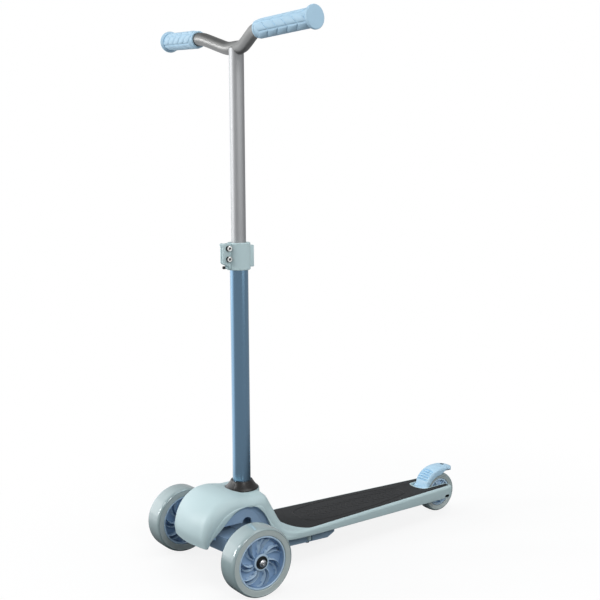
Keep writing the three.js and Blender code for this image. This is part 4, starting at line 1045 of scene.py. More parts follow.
def ring_recipe() -> Recipe:
    """Repeats a shape round a centre, each copy turned about the X axis and grown by a step.

    Returns:
        The recipe.
    """
    recipe = Recipe("repeat_round_axle")
    count, centre = recipe.size("Count", Input.COUNT), recipe.size("Centre", Input.PLACE)
    phase, step, growth = (recipe.size(name) for name in ("Phase", "Step", "Growth"))
    out = recipe.index * growth + 1.0
    turned = recipe.turned(recipe.index * step + phase)
    return recipe.repeat(count, centre, Rotation=turned, Scale=recipe.vector(1.0, out, out))


def sweep_recipe() -> Recipe:
    """Sweeps a round section along the edges of a mesh.

    Returns:
        The recipe.
    """
    recipe = Recipe("round_section_along_path")
    path = recipe.node("GeometryNodeMeshToCurve", {}, {"Mesh": recipe.source})
    return recipe.close(recipe.sweep(path, recipe.size("Sides", Input.COUNT), recipe.size("Radius")))


def coil_recipe() -> Recipe:
    """Winds a round wire into a coil along the X axis, from a start point.

    Returns:
        The recipe.
    """
    recipe = Recipe("wire_coil")
    turns, radius, length, wire = (recipe.size(name) for name in ("Turns", "Radius", "Length", "Wire"))
    start = recipe.size("Start", Input.PLACE)
    inputs = {
        "Resolution": 28, "Rotations": turns, "Start Radius": radius, "End Radius": radius,
        "Height": length,
    }
    spiral = recipe.node("GeometryNodeCurveSpiral", {}, inputs)
    lie = recipe.node("FunctionNodeEulerToRotation", {}, {0: (0.0, math.pi / 2, 0.0)})
    moved = {"Geometry": recipe.sweep(spiral, 10, wire), "Translation": start, "Rotation": lie}
    return recipe.close(recipe.node("GeometryNodeTransform", {}, moved))


def grid_recipe() -> Recipe:
    """Repeats a shape in rows along the X axis and in rings round it.

    Returns:
        The recipe.
    """
    recipe = Recipe("rows_round_grip")
    along, around = (recipe.size(name, Input.COUNT) for name in ("Along", "Around"))
    start, pitch, phase = (recipe.size(name) for name in ("Start", "Pitch", "Phase"))
    column = recipe.maths("MODULO", recipe.index, along)
    ring = recipe.maths("FLOOR", recipe.index / along)
    place = recipe.vector(column * pitch + start, 0.0, 0.0)
    return recipe.repeat(along * around, place, Rotation=recipe.turned(ring * (TAU / around) + phase))


def row_recipe() -> Recipe:
    """Repeats a shape in a straight row, each one sized between a first and a last size.

    Returns:
        The recipe.
    """
    recipe = Recipe("tapering_row")
    count = recipe.size("Count", Input.COUNT)
    start, step, change = (recipe.size(name, Input.PLACE) for name in ("Start", "Step", "Change"))
    first = recipe.size("First", Input.PLACE, (1.0, 1.0, 1.0))
    index = recipe.index
    many = recipe.vector(index, index, index)
    add = {"operation": "MULTIPLY_ADD"}
    place = recipe.node("ShaderNodeVectorMath", add, {0: many, 1: step, 2: start})
    size = recipe.node("ShaderNodeVectorMath", add, {0: many, 1: change, 2: first})
    return recipe.repeat(count, place, Scale=size)


def path_mesh(points: Sequence[Vector], closed: bool = False) -> Mesh:
    """A line of edges for a sweep to follow.

    Args:
        points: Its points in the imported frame.
        closed: Whether the last point is joined to the first.

    Returns:
        The line as a mesh.
    """
    mesh = bpy.data.meshes.new("path")
    edges = [(k, (k + 1) % len(points)) for k in range(len(points) if closed else len(points) - 1)]
    mesh.from_pydata(points, edges, [])
    return mesh


@dataclass(frozen=True)
class Channel:
    """Half of a channel's section, from its middle over its corner to its lip and back inside.

    Attributes:
        half_width: From the middle to the outer side.
        corner: Outer radius between top and side.
        swell: How far the middle stands over the corners.
        depth: From the top's middle to the lip.
        wall: Thickness.
        flange: How far a band along the lip stands proud.
        band: Width of that band.
        solid: True fills the channel.
    """

    half_width: float
    corner: float
    swell: float
    depth: float
    wall: float
    flange: float = 0.0
    band: float = 12.0
    solid: bool = False

    def top(self, inset: float) -> list[Flat]:
        """Points (x, depth) of the top and corner.

        Args:
            inset: How far they lie inside the outer face.

        Returns:
            The points, from the middle outwards.
        """
        flat = max(self.half_width - self.corner, 1.0)
        radius = max(self.corner - inset, 0.6)
        crown = [(flat * t, inset + self.swell * t * t) for t in steps(8)]
        reach = self.half_width - inset - radius
        level = inset + self.swell + radius
        return [*crown[:-1], *arc((reach, level), (radius, -radius), 90, 0, 8)]

    def half(self, shrink: float = 0.0) -> list[Flat]:
        """Points (x, depth) of half the section.

        Args:
            shrink: How much thinner it is at both faces.

        Returns:
            The points, from the outer face round the lip to the inner one.
        """
        outer, inner = self.top(shrink), self.top(self.wall - shrink)
        band = max(0.5, min(self.band, self.depth - outer[-1][1] - 2.5))
        soft, edge, out = 1.6, self.depth - band, self.half_width - shrink
        rise = [(out + self.flange * smooth(t), edge + soft * (t - 0.5)) for t in steps(4)]
        turn = min(1.3, self.wall / 2 - shrink - 0.05)
        level = self.depth - shrink
        lip = arc((out + self.flange - turn, level - turn), (turn, turn), 0, 90, 4)
        inside = self.half_width - self.wall + shrink
        back = arc((inside + turn, level - turn), (turn, turn), 90, 180, 4)
        returned = [(x, level) for x, d in inner] if self.solid else inner
        return [*outer, *rise, *lip, *back, *reversed(returned)]

    def ring(self, top: Vector, inward: Vector, shrink: float = 0.0) -> list[Point]:
        """The whole section across the scooter.

        Args:
            top: Its top point (Y, Z).
            inward: Direction of its depth.
            shrink: How much thinner it is at both faces.

        Returns:
            The section's points.
        """
        half = self.half(shrink)
        mirror = [(-x, d) for x, d in reversed(half[1:-1])]
        return [(x, top.x + inward.x * d, top.y + inward.y * d) for x, d in [*half, *mirror]]


# The hood's ribs, from the lip under the nose to the deck. Each row has the top point and the
# lower edge as shares along (-1 nose, 0 column, 1 deck) and up (0 deck, 1 column seat), then the
# half width, corner radius and swell as shares of the deck's half width, rim radius and bulge.
HOOD_RIB_SHARES = (
    (-0.975, 0.11, -0.865, 0.1, 0.8, 1, 1),
    (-1, 0.354, -0.798, 0.256, 0.83, 2.4, 1),
    (-0.94, 0.66, -0.663, 0.451, 0.88, 3.6, 0.9),
    (-0.806, 0.89, -0.537, 0.646, 0.91, 4.2, 0.6),
    (-0.621, 1.045, -0.427, 0.768, 0.92, 4.2, 0.5),
    (-0.436, 1.08, -0.3, 0.83, 0.92, 4, 0.45),
    (-0.267, 1.05, -0.216, 0.841, 0.92, 3.4, 0.4),
    (-0.1, 1.012, -0.132, 0.823, 0.92, 2.8, 0.5),
    (0.082, 1.005, -0.048, 0.756, 0.92, 3, 0.5),
    (0.2, 0.965, 0.023, 0.665, 0.92, 3.8, 0.4),
    (0.3, 0.77, 0.1, 0.549, 0.92, 4.2, 0.3),
    (0.385, 0.549, 0.171, 0.366, 0.93, 4, 0.2),
    (0.475, 0.317, 0.24, 0.171, 0.945, 3.2, 0.2),
    (0.59, 0.105, 0.329, -0.012, 0.965, 2.2, 0.1),
    (0.77, 0.012, 0.526, -0.122, 0.99, 1.3, 0),
    (1, 0, 0.95, -0.1585, 1, 1, 0),
)


@dataclass
class Rib:
    """One section of the deck moulding.

    Attributes:
        top: Its top point (Y, Z).
        edge: Its lower edge (Y, Z).
        channel: Its channel.
    """

    top: Vector
    edge: Vector
    channel: Channel

    @property
    def inward(self) -> Vector:
        """Direction from the top point to the lower edge."""
        return (self.edge - self.top).normalized()

    def ring(self) -> list[Point]:
        """The section's points."""
        return self.channel.ring(self.top, self.inward)


@dataclass
class DeckPlan:
    """Sizes that the deck, its mat and its frame share."""

    top: float = 59.0
    start: float = 155.0
    end: float = 540.0
    front_half: float = 65.0
    rear_half: float = 39.5
    front_depth: float = 13.0
    rear_depth: float = 24.0
    rim: float = 5.0
    end_radius: float = 9.0
    wall: float = 3.5
    nose_reach: float = 65.0
    seat: float = COLUMN_SEAT
    bulge: float = 7.0
    solid_from: float = 445.0
    column: float = COLUMN_Y
    slot_half: float = 20.5
    slot_front: float = 471.0
    slot_nose: float = 9.0
    slot_border: float = 3.0
    mat_border: float = 5.5
    mat_front: float = 136.0
    mat_nose: float = 32.0
    end_border: float = 7.0
    steps_per_rib: int = 6
    flange: float = 1.1

    def half_width(self, y: float) -> float:
        """Half the deck's width at a station."""
        return lerp(self.front_half, self.rear_half, (y - self.start) / (self.end - self.start))

    def bottom(self, y: float) -> float:
        """Height of the deck's lower edge at a station."""
        share = (y - self.start) / (self.end - self.start)
        return self.top - lerp(self.front_depth, self.rear_depth, share)

    def station(self, share: float) -> float:
        """Y of a share along the hood."""
        reach = self.column + self.nose_reach if share < 0 else self.start - self.column
        return self.column + share * reach

    def hood_ribs(self) -> list[Rib]:
        """The ribs from the nose to the start of the deck.

        Returns:
            The ribs in order.
        """
        rise = self.seat - self.top
        rows = [
            [
                self.station(top_y), self.top + top_z * rise, self.station(edge_y), self.top + edge_z * rise,
                width * self.front_half, corner * self.rim, swell * self.bulge,
            ]
            for top_y, top_z, edge_y, edge_z, width, corner, swell in HOOD_RIB_SHARES
        ]
        ribs = []
        spans = len(rows) - 1
        for share in steps(spans * self.steps_per_rib):
            y, z, edge_y, edge_z, half, corner, swell = rows_between(rows, share * spans)
            top, edge = Vector((y, z)), Vector((edge_y, edge_z))
            flange = self.flange * smooth(share / 0.1) * smooth((1 - share) / 0.2)
            ribs.append(Rib(top, edge, Channel(half, corner, swell, (edge - top).length, self.wall, flange)))
        return ribs

    def deck_ribs(self) -> list[Rib]:
        """The ribs of the level deck, solid behind the cavity and round at the end.

        Returns:
            The ribs in order.
        """
        round_from = self.end - self.end_radius
        places = [(lerp(self.start, self.solid_from, t), 0.0, False) for t in steps(6)[1:]]
        places += [(lerp(self.solid_from, round_from, t), 0.0, True) for t in steps(4)]
        for t in steps(10)[1:]:
            angle = t * math.pi / 2
            places.append((round_from + self.end_radius * math.sin(angle), 1 - math.cos(angle), True))
        ribs = []
        for y, turn, solid in places:
            top = Vector((y, self.top - turn * self.rim / 2))
            edge = Vector((y, self.bottom(y) + turn * self.rim / 2))
            half = self.half_width(y) - turn * self.end_radius
            channel = Channel(half, self.rim, 0.0, (edge - top).length, self.wall, solid=solid)
            ribs.append(Rib(top, edge, channel))
        return ribs

    def slot_outline(self, margin: float, end: float) -> list[Flat]:
        """The wheel slot's outline, grown by a margin, open to an end."""
        half, radii = self.slot_half + margin, (-self.slot_half - margin, -self.slot_nose - margin)
        return [*arc((0, self.slot_front + self.slot_nose), radii, 0, 180, 40), (half, end), (-half, end)]

    def mat_outline(self, margin: float) -> list[Flat]:
        """The mat's outline: an oval front, tapered sides and two arms.

        Args:
            margin: How far it is grown.

        Returns:
            The outline's points.
        """
        widest = self.mat_front + self.mat_nose
        edge = self.end - self.end_border + margin
        corner = self.end_border / 2
        inset = self.mat_border - margin
        wide, narrow = self.half_width(widest) - inset, self.half_width(edge) - inset
        front = arc((0, widest), (-wide, -(self.mat_nose + margin)), 0, 180, 64)
        inner = self.slot_half + self.slot_border - margin
        slot = self.slot_outline(self.slot_border - margin, edge)[:-2]
        right = [*arc((narrow - corner, edge - corner), (corner, corner), 0, 90, 6), (inner, edge)]
        return [*front, *right, *reversed(slot), *[(-x, y) for x, y in reversed(right)]]


def bearing_shape(start: float, end: float, centre: Flat) -> Shape:
    """A ball bearing along X with a sunk shield on each face.

    Args:
        start: X of one face.
        end: X of the other face.
        centre: Y and Z of its axis.

    Returns:
        The shape.
    """
    middle, half = (start + end) / 2, (end - start) / 2
    face = [(4.0, half - 0.3), (4.3, half), (6.0, half), (6.2, half - 0.5), (9.0, half - 0.5), (9.2, half)]
    face += [(10.6, half), (11.0, half - 0.4)]
    profile = [*[(r, middle + h) for r, h in face], *[(r, middle - h) for r, h in reversed(face)]]
    return Shape().turned(profile, Axis.X, centre, 64, closed=True)


def tyre_shape(right: Sequence[Flat], tread: int, centre: Flat, sides: int) -> Shape:
    """A tyre about the X axis, from half its profile.

    Args:
        right: Radius and X of the points from the tread's middle to the bore.
        tread: Number of the point where the tread ends.
        centre: Y and Z of its axis.
        sides: Number of facets round it.

    Returns:
        The shape, with finish 1 on the side rings.
    """
    profile = [*[(r, -x) for r, x in reversed(right[1:])], *right]
    side_faces, last = len(right) - 1 - tread, len(profile) - 2

    def finish_of(k: int) -> int:
        """1 on the side rings and 0 on the tread and the bore."""
        return int(k < side_faces or last - side_faces < k <= last)

    return Shape().turned(profile, Axis.X, centre, sides, True, finish_of)


def bearing_seats(face: float, centre: Flat) -> Shape:
    """Cutters for a bearing's seat in both faces of a hub.

    Args:
        face: X of the left face.
        centre: Y and Z of its axis.

    Returns:
        The shape.
    """
    seats = Shape()
    for start, end in ((face - 7, face + 3), (-face - 3, -face + 7)):
        seats.rod(Axis.X, start, end, 11.3, centre, 96)
    return seats


def hub_profile(right: Sequence[Flat]) -> list[Flat]:
    """The whole closed profile of a hub, from its half at positive X."""
    return [*right, *[(r, -x) for r, x in reversed(right)]]


@dataclass
class Assembly:
    """A part of the scooter that makes, dresses and mounts its own pieces.

    Attributes:
        finishes: Every finish.
    """

    finishes: Finishes

    def soft_copy(
        self, node: str, name: str, width: float, finish: Material, body: str, slot: str, segments: int = 2
    ) -> None:
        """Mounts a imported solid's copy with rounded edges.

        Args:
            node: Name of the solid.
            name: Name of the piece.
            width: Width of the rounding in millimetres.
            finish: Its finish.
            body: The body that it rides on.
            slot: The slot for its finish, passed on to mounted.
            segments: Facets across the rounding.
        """
        mounted(dressed(softened(copied(node, name), width, segments), finish), body, slot, node)


@dataclass
class Deck(Assembly):
    """Deck and hood, grip mat and the frame under them."""

    plan: DeckPlan = field(default_factory=DeckPlan)
    boss_radius: float = 31.3
    boss_depth: float = 16.0
    bore: float = 16.3
    recess: float = 2.0
    mat_rise: float = 0.5
    mat_edge: float = 0.6
    gap: float = 0.3
    rear_axle: Flat = REAR_AXLE
    hinge: Flat = BRAKE_HINGE
    rib_start: float = 250.0
    rib_pitch: float = 42.0
    rib_width: float = 3.0
    rib_spacing: float = 36.0
    rib_lift: float = 3.0
    tread: Flat = (178.0, 430.0)
    liner_reach: float = 50.2

    def build(self) -> None:
        """Makes and mounts every piece of the deck."""
        mounted(self.moulding(), "frame", "pale_plastic", "deck_moulding")
        mounted(self.stiffeners(), "frame", "pale_plastic")
        mounted(self.mat(), "frame", "mat_rubber", "grip_mat")
        mounted(self.mat_tread(), "frame", "mat_rubber")
        self.soft_copy("chassis_frame", "chassis", 0.8, self.finishes.blue, "frame", "blue_plastic")
        for side in Side:
            mounted(self.arch_liner(side), "frame", "blue_plastic")

    def moulding(self) -> Piece:
        """The deck and hood in one moulding.

        Returns:
            The piece, dark inside the pockets of the rear axle.
        """
        plan, column = self.plan, (0.0, self.plan.column)
        hood = plan.hood_ribs()
        rings = [*self.round_lip(*hood[:2]), *[rib.ring() for rib in [*hood, *plan.deck_ribs()]]]
        body = Shape().skin(rings).piece("deck_and_hood")
        seat, above, high = plan.seat, plan.seat + self.boss_depth, plan.top + 9
        boss = Shape().rod(Axis.Z, seat - self.boss_depth, seat, self.boss_radius, column, 96)
        carved(body, Cut.ADD, boss.piece("boss"))
        tools = [
            Shape().rod(Axis.Z, seat, above, self.boss_radius, column, 96),
            Shape().rod(Axis.Z, plan.top, above, self.bore, column, 96),
            Shape().drawn(plan.mat_outline(self.gap), Axis.Z, plan.top - self.recess, high),
            Shape().drawn(plan.slot_outline(0, plan.end + 9), Axis.Z, 0, high),
            Shape().rod(Axis.X, -34, 34, 4.0, self.rear_axle),
            Shape().rod(Axis.X, -31.3, 31.3, 2.8, self.hinge),
        ]
        dressed(body, self.finishes.pale, self.finishes.black)
        carved(body, Cut.AWAY, *[tool.piece("tool") for tool in tools], self.pockets())
        return shaded(welded(body), 38)

    def round_lip(self, first: Rib, after: Rib) -> list[list[Point]]:
        """Thinner sections that round the lip under the nose.

        Args:
            first: The rib at the lip.
            after: The rib behind it.

        Returns:
            The sections, the outermost first.
        """
        out = Vector((first.inward.y, -first.inward.x))
        if out.dot(after.top - first.top) > 0:
            out.negate()
        rings, middle = [], self.plan.wall / 2
        for t in steps(5)[:-1]:
            shrink = (middle - 0.15) * (1 - math.sin(t * math.pi / 2))
            shift = out * middle * math.cos(t * math.pi / 2)
            rings.append(first.channel.ring(first.top + shift, first.inward, shrink))
        return rings

    def pockets(self) -> Piece:
        """Cutters for the rear axle's slots in both sides.

        Returns:
            The cutters, in the dark finish.
        """
        pocket, (y, z) = Shape(), self.rear_axle
        outline = [*arc((y - 8.5, z), (2.5, 2.5), 90, 270, 8), *arc((y - 1.5, z), (2.5, 2.5), -90, 90, 8)]
        for side in Side:
            pocket.drawn(outline, Axis.X, *sorted((side.value * 34.5, side.value * 60.0)))
        return marked(pocket.piece("pockets"), 1, self.finishes.pale, self.finishes.black)

    def stiffeners(self) -> Piece:
        """Cross ribs and two long ribs on the underside.

        Returns:
            The piece.
        """
        plan, half, start = self.plan, self.rib_width / 2, self.rib_start
        top = plan.top - plan.wall / 2

        def size(y: float) -> Vector:
            """Width, length and height of the cross rib at a station, in metres."""
            reach = plan.half_width(y) - plan.wall / 2
            return Vector((2 * reach, self.rib_width, top - plan.bottom(y) - self.rib_lift)) * MM

        cube = Shape().block((-0.5 / MM, -0.5 / MM, -1 / MM), (0.5 / MM, 0.5 / MM, 0)).piece("unit", False)
        cross = row_recipe().make(
            "cross_ribs", unit_of(cube), self.finishes.pale,
            Count=int((plan.solid_from - start) // self.rib_pitch) + 1,
            First=size(start), Change=size(start + self.rib_pitch) - size(start),
            Start=DRAWING.place((0, start, top)), Step=Vector((0, self.rib_pitch * MM, 0)),
        )
        long_ribs = Shape()
        for x in (-self.rib_spacing / 2, self.rib_spacing / 2):
            low = (x - half, start, plan.bottom(start) + self.rib_lift)
            long_ribs.block(low, (x + half, plan.solid_from + 3, top))
        whole = joined("deck_ribs", cross, dressed(long_ribs.piece("long_ribs"), self.finishes.pale))
        return shaded(rounded(whole, 0.4))

    def mat(self) -> Piece:
        """The grip mat with a soft edge.

        Returns:
            The mat.
        """
        plan, edge = self.plan, self.mat_edge
        low, high = plan.top - self.recess + self.gap, plan.top + self.mat_rise
        rings = [[(x, y, low) for x, y in plan.mat_outline(0)]]
        for inset, rise in arc((edge, high - edge), (-edge, edge), 0, 90, 4):
            rings.append([(x, y, rise) for x, y in plan.mat_outline(-inset)])
        return dressed(shaded(Shape().skin(rings).piece("grip_mat_top"), 50), self.finishes.mat)

    def mat_tread(self) -> Piece:
        """Low raised tread on the mat: an outline bead and slanting bars inside it.

        Returns:
            The tread.
        """
        plan, black, level = self.plan, self.finishes.black, self.plan.top + self.mat_rise
        loop = []
        for t in steps(96)[:-1]:
            angle = TAU * t
            y = lerp(*self.tread, 0.5 - 0.5 * math.cos(angle))
            half = (plan.half_width(y) - 17) * abs(math.sin(angle)) ** 0.45
            loop.append(DRAWING.place((half * (1 if angle < math.pi else -1), y, level - 0.15)))
        bead = sweep_recipe().make("bead", path_mesh(loop, True), black, Radius=0.8 * MM, Sides=8)
        bar = Shape()
        for x, lean in ((-14, 3.0), (0, -3.0), (14, 3.0)):
            ends = [(x - 5, -1.4 - lean), (x + 5, -1.4 + lean), (x + 5, 1.4 + lean), (x - 5, 1.4 - lean)]
            bar.drawn(ends, Axis.Z, -0.2, 0.3)
        bars = row_recipe().make(
            "bars", unit_of(bar.piece("bar", False)), black, Count=17,
            Start=DRAWING.place((0, self.tread[0] + 22, level)), Step=Vector((0, 13 * MM, 0)),
        )
        return shaded(joined("mat_tread", bead, bars), 50)

    def arch_liner(self, side: Side) -> Piece:
        """Hollowed strip that leads from a wheel arch's lip to the liner behind it.

        Args:
            side: Its side.

        Returns:
            The strip, shallower at the front where the leaning truck passes.
        """
        rings = []
        for rib in [rib for rib in self.plan.hood_ribs() if rib.edge.x < 90][5:-3]:
            lip, depth = rib.channel.half_width - self.plan.wall - 0.2, rib.channel.depth
            (y, z), inward = rib.top, rib.inward
            tuck = 1.0 if y > 0 else min(max((z - 125.0) / 18.0, 0.2), 1.0)
            outer = [(lip, depth - 2.2), (lip - 1.4, depth - 0.4), (lip - 3.4, depth + 2.0 * tuck)]
            outer += [(lip - 5.0, depth + 5.0 * tuck), (self.liner_reach, depth + 9.0 * tuck)]
            whole = [*outer, *[(x - 1.3, d - 0.3) for x, d in reversed(outer)]]
            rings.append([(side.value * x, y + inward.x * d, z + inward.y * d) for x, d in whole])
        strip = Shape().skin(rings).piece(f"{side.word}_arch_liner")
        return dressed(shaded(strip, 50), self.finishes.blue)


@dataclass
class Underframe(Assembly):
    """Spring housing, its screws, and the parts of the lean pivot."""

    window: Flat = (163.5, 177.5)
    post: Flat = (39.5, 172.6)
    kingpin: float = 84.0

    def build(self) -> None:
        """Makes and mounts every piece under the deck."""
        finishes = self.finishes
        housing, windows, posts = copied("spring_housing", "spring_tray"), Shape(), Shape()
        for side in Side:
            low, high = sorted((side.value * 40.2, side.value * 50.0))
            windows.block((low, self.window[0], 27), (high, self.window[1], 52))
            posts.rod(Axis.Z, 28, 54, 4.6, (side.value * self.post[0], self.post[1]))
        carved(housing, Cut.AWAY, windows.piece("windows"))
        mounted(dressed(softened(housing, 0.7), finishes.tray), "frame", "blue_plastic", "spring_housing")
        # the posts take the pale finish, lighter than the tray, as a painted highlight where they show in the
        # windows
        screws = shaded(rounded(posts.piece("screw_posts"), 0.5))
        mounted(dressed(screws, finishes.pale), "frame", "blue_plastic")
        self.soft_copy("truck_beam", "truck", 1.6, finishes.blue, "truck", "blue_plastic", 3)
        for side in Side:
            node = f"{side.word}_knuckle"
            body = f"{node}_body"
            self.soft_copy(node, f"{side.word}_steering_knuckle", 0.9, finishes.blue, body, "blue_plastic")
            self.fork_pin(side)
        self.soft_copy("tail_arm", "lean_arm", 0.7, finishes.steel, "truck", "dark_steel")
        self.soft_copy("tie_rod", "steering_rod", 0.7, finishes.steel, "tie_rod_body", "dark_steel")

    def fork_pin(self, side: Side) -> None:
        """Mounts a pin with a low domed head through a fork of the truck.

        Args:
            side: Its side.
        """
        node = f"{side.word}_kingpin"
        bottom, top = (corner.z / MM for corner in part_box(node))
        profile = [(0, bottom), (3.2, bottom), (4, bottom + 0.8)]
        profile += [(4, top - 4.3), (6.2, top - 4), (7, top - 3.4), (7, top - 1.6), (6.2, top - 0.6)]
        profile += [(4.2, top - 0.1), (2.2, top), (2.2, top - 2), (0, top - 2)]
        shape = Shape().turned(profile, Axis.Z, (side.value * self.kingpin, 0.0), 48)
        pin = shape.piece(f"{side.word}_fork_pin")
        mounted(dressed(shaded(pin), self.finishes.steel), "truck", "dark_steel", node)


@dataclass
class FrontWheel(Assembly):
    """One front wheel: tyre, swirled hub, bearings, dark washer and domed bolt.

    Attributes:
        side: Side of the scooter.
        radius: Tread radius.
        width: Tyre width.
        middle: X of the wheel's middle.
        opening: Radius of the tyre's bore.
        vanes: Number of blades on each face.
        share: Share of the pitch that a blade takes.
        sweep: Degrees that a blade turns on its way out.
        bend: How late it turns.
        level: Height of a blade over the middle of the wheel.
        dish: How far its middle is sunk.
        crest: Height of its raised edges over that.
        crest_width: Width of those edges.
        phase: Degrees that the pattern is turned.
    """

    side: Side
    radius: float = 60.0
    width: float = 40.0
    middle: float = 126.5
    opening: float = 46.2
    vanes: int = 7
    share: float = 0.67
    sweep: float = 32.0
    bend: float = 1.7
    level: float = 8.6
    dish: float = 2.4
    crest: float = 6.7
    crest_width: float = 1.2
    phase: float = 18.0

    def placed(self, shape: Shape, name: str) -> Piece:
        """Makes a piece of a shape about the wheel's middle, at its place.

        Args:
            shape: The shape.
            name: Name of the piece, after its side.

        Returns:
            The piece.
        """
        sign, x0, z0 = self.side.value, self.middle, self.radius
        moved = shape.moved(lambda p: (sign * (p[0] + x0), p[1], p[2] + z0))
        return moved.piece(f"{self.side.word}_{name}")

    def build(self) -> None:
        """Makes and mounts the wheel."""
        word, half, steel = self.side.word, self.width / 2, self.finishes.steel
        wheel, knuckle = f"{word}_front_wheel", f"{word}_knuckle_body"
        mounted(self.tyre(), wheel, "tyre_urethane", f"{word}_tyre")
        mounted(self.hub(), wheel, "blue_plastic", f"{word}_hub")
        for name, start in (("inner", -half + 4.3), ("outer", half - 10.7)):
            race = self.placed(bearing_shape(start, start + 6.4, (0, 0)), f"{name}_race")
            mounted(dressed(shaded(race), steel), wheel, "dark_steel", f"{word}_{name}_bearing")
        profile = [(3.9, 16.3), (9.4, 16.3), (10.2, 16.8), (10.2, 17.5)]
        profile += [(8.8, 17.5), (7.6, 17.0), (3.9, 17.0)]
        washer = self.placed(Shape().turned(profile, Axis.X, closed=True), "cup_washer")
        mounted(dressed(shaded(washer), steel), knuckle, "dark_steel", f"{word}_axle_washer")
        mounted(self.bolt(), knuckle, "bright_steel", f"{word}_axle_bolt")

    def tyre(self) -> Piece:
        """Glossy tread with soft shoulders and a dull ring on each side.

        Returns:
            The tyre.
        """
        half, crown, (deep, wide) = self.width / 2, 0.25, (3.8, 7.0)
        right = [(self.radius - crown * t * t, lerp(0, half - wide, t)) for t in steps(4)]
        right += arc((self.radius - crown - deep, half - wide), (deep, wide), 0, 90, 14)[1:]
        tread = len(right) - 1
        right += [(56.2, half - 0.05), (55.7, half - 0.6), (54.8, half - 0.75), (47.6, half - 0.35)]
        right += [(46.7, half - 0.6), (self.opening, half - 1.3)]
        tyre = self.placed(tyre_shape(right, tread, (0, 0), 128), "tread")
        return dressed(shaded(tyre, 50), self.finishes.tread, self.finishes.side)

    def hub(self) -> Piece:
        """Barrel, web and boss, with the blades on both faces.

        Returns:
            The hub.
        """
        hub, web = self.finishes.hub, self.finishes.web
        barrel, boss = self.width / 2 - 1.2, self.width / 2 - 4.0
        out, inner = self.opening - 0.3, self.opening - 3.3
        right = [(5.5, boss), (11.3, boss), (11.3, boss - 0.1), (13.6, boss), (14.5, boss - 0.9), (14.9, 2.2)]
        right += [(15.6, 1.5), (inner - 1.6, 1.5), (inner - 0.4, 2.4), (inner, barrel - 1)]
        right += [(inner + 0.8, barrel), (out - 0.7, barrel), (out, barrel - 0.7)]
        profile = hub_profile(right)
        last = len(profile) - 2

        def finish_of(k: int) -> int:
            """1, the darker painted shade, on the web between barrel and boss."""
            return int(4 <= min(k, last - k) <= 8)

        turned = Shape().turned(profile, Axis.X, sides=128, closed=True, finish_of=finish_of)
        body = dressed(self.placed(turned, "body"), hub, web)
        shaded(carved(body, Cut.AWAY, self.placed(bearing_seats(boss, (0, 0)), "seats")))
        recipe, blade, sets = ring_recipe(), self.blade(), []
        centre = DRAWING.place((self.side.value * self.middle, 0, self.radius))
        for sign in (self.side.value, -self.side.value):
            unit = unit_of(blade.moved(lambda p, s=sign: (s * p[0], p[1], p[2])).piece("blade", False))
            blades = recipe.make(
                "blades", unit, hub, Count=self.vanes, Step=TAU / self.vanes,
                Phase=-math.radians(self.phase), Centre=centre,
            )
            # the blades' low faces take the darker finish: painted shade between the crests
            for polygon in dressed(blades, hub, web).data.polygons:
                height = abs(abs(polygon.center.x) / MM - self.middle)
                polygon.material_index = int(height < self.level + self.crest * 0.12)
            sets.append(shaded(blades, 48))
        return joined(f"{self.side.word}_swirled_hub", body, *sets)

    def blade(self) -> Shape:
        """One dished blade with a rounded crest along each edge, on the outer face at the top.

        Returns:
            The blade about the wheel's middle.
        """
        start, end, deep = 12.6, self.opening - 1.9, 0.8
        half_angle = TAU / self.vanes * self.share / 2
        rings = []
        for s in steps(14):
            r = lerp(start, end, s)
            swing = math.radians(self.sweep) * s**self.bend
            half = half_angle * r + self.crest_width
            taper = 0.45 + 0.55 * smooth(s / 0.35)
            fall = 1 - 0.45 * smooth((s - 0.8) / 0.2)
            ring = []
            for u in steps(20):
                t = (2 * u - 1) * half
                edge = (half - abs(t)) / self.crest_width - 1
                bump = math.sqrt(max(0.0, 1 - edge**2)) if edge < 0 else max(0.0, 1 - (edge / 1.5) ** 2)
                dish = self.dish * (1 - (t / half) ** 2)
                ring.append((self.level - dish * taper + self.crest * taper * fall * smooth(bump), t))
            ring = [(deep, -half * 1.02), *ring, (deep, half * 1.02)]
            rings.append([(x, r * math.sin(swing + t / r), r * math.cos(swing + t / r)) for x, t in ring])
        return Shape().skin(rings)

    def bolt(self) -> Piece:
        """Domed bolt with a hexagon socket.

        Returns:
            The bolt.
        """
        face, radius, dome = self.width / 2 - 2.2, 6.4, 3.2
        profile = [(0, -37.0), (3.7, -37.0), (3.7, face), (6.0, face)]
        profile += [(radius, face + 0.4), (radius, face + 1.2)]
        profile += arc((0, face + 1.2), (radius, dome), 0, 90, 8)[1:]
        bolt = self.placed(Shape().turned(profile, Axis.X, sides=64), "dome_bolt")
        socket = self.placed(Shape().rod(Axis.X, face + 2.2, face + 9, 2.6, (0, 0), 6), "socket")
        return dressed(shaded(carved(bolt, Cut.AWAY, socket), 30), self.finishes.bright)


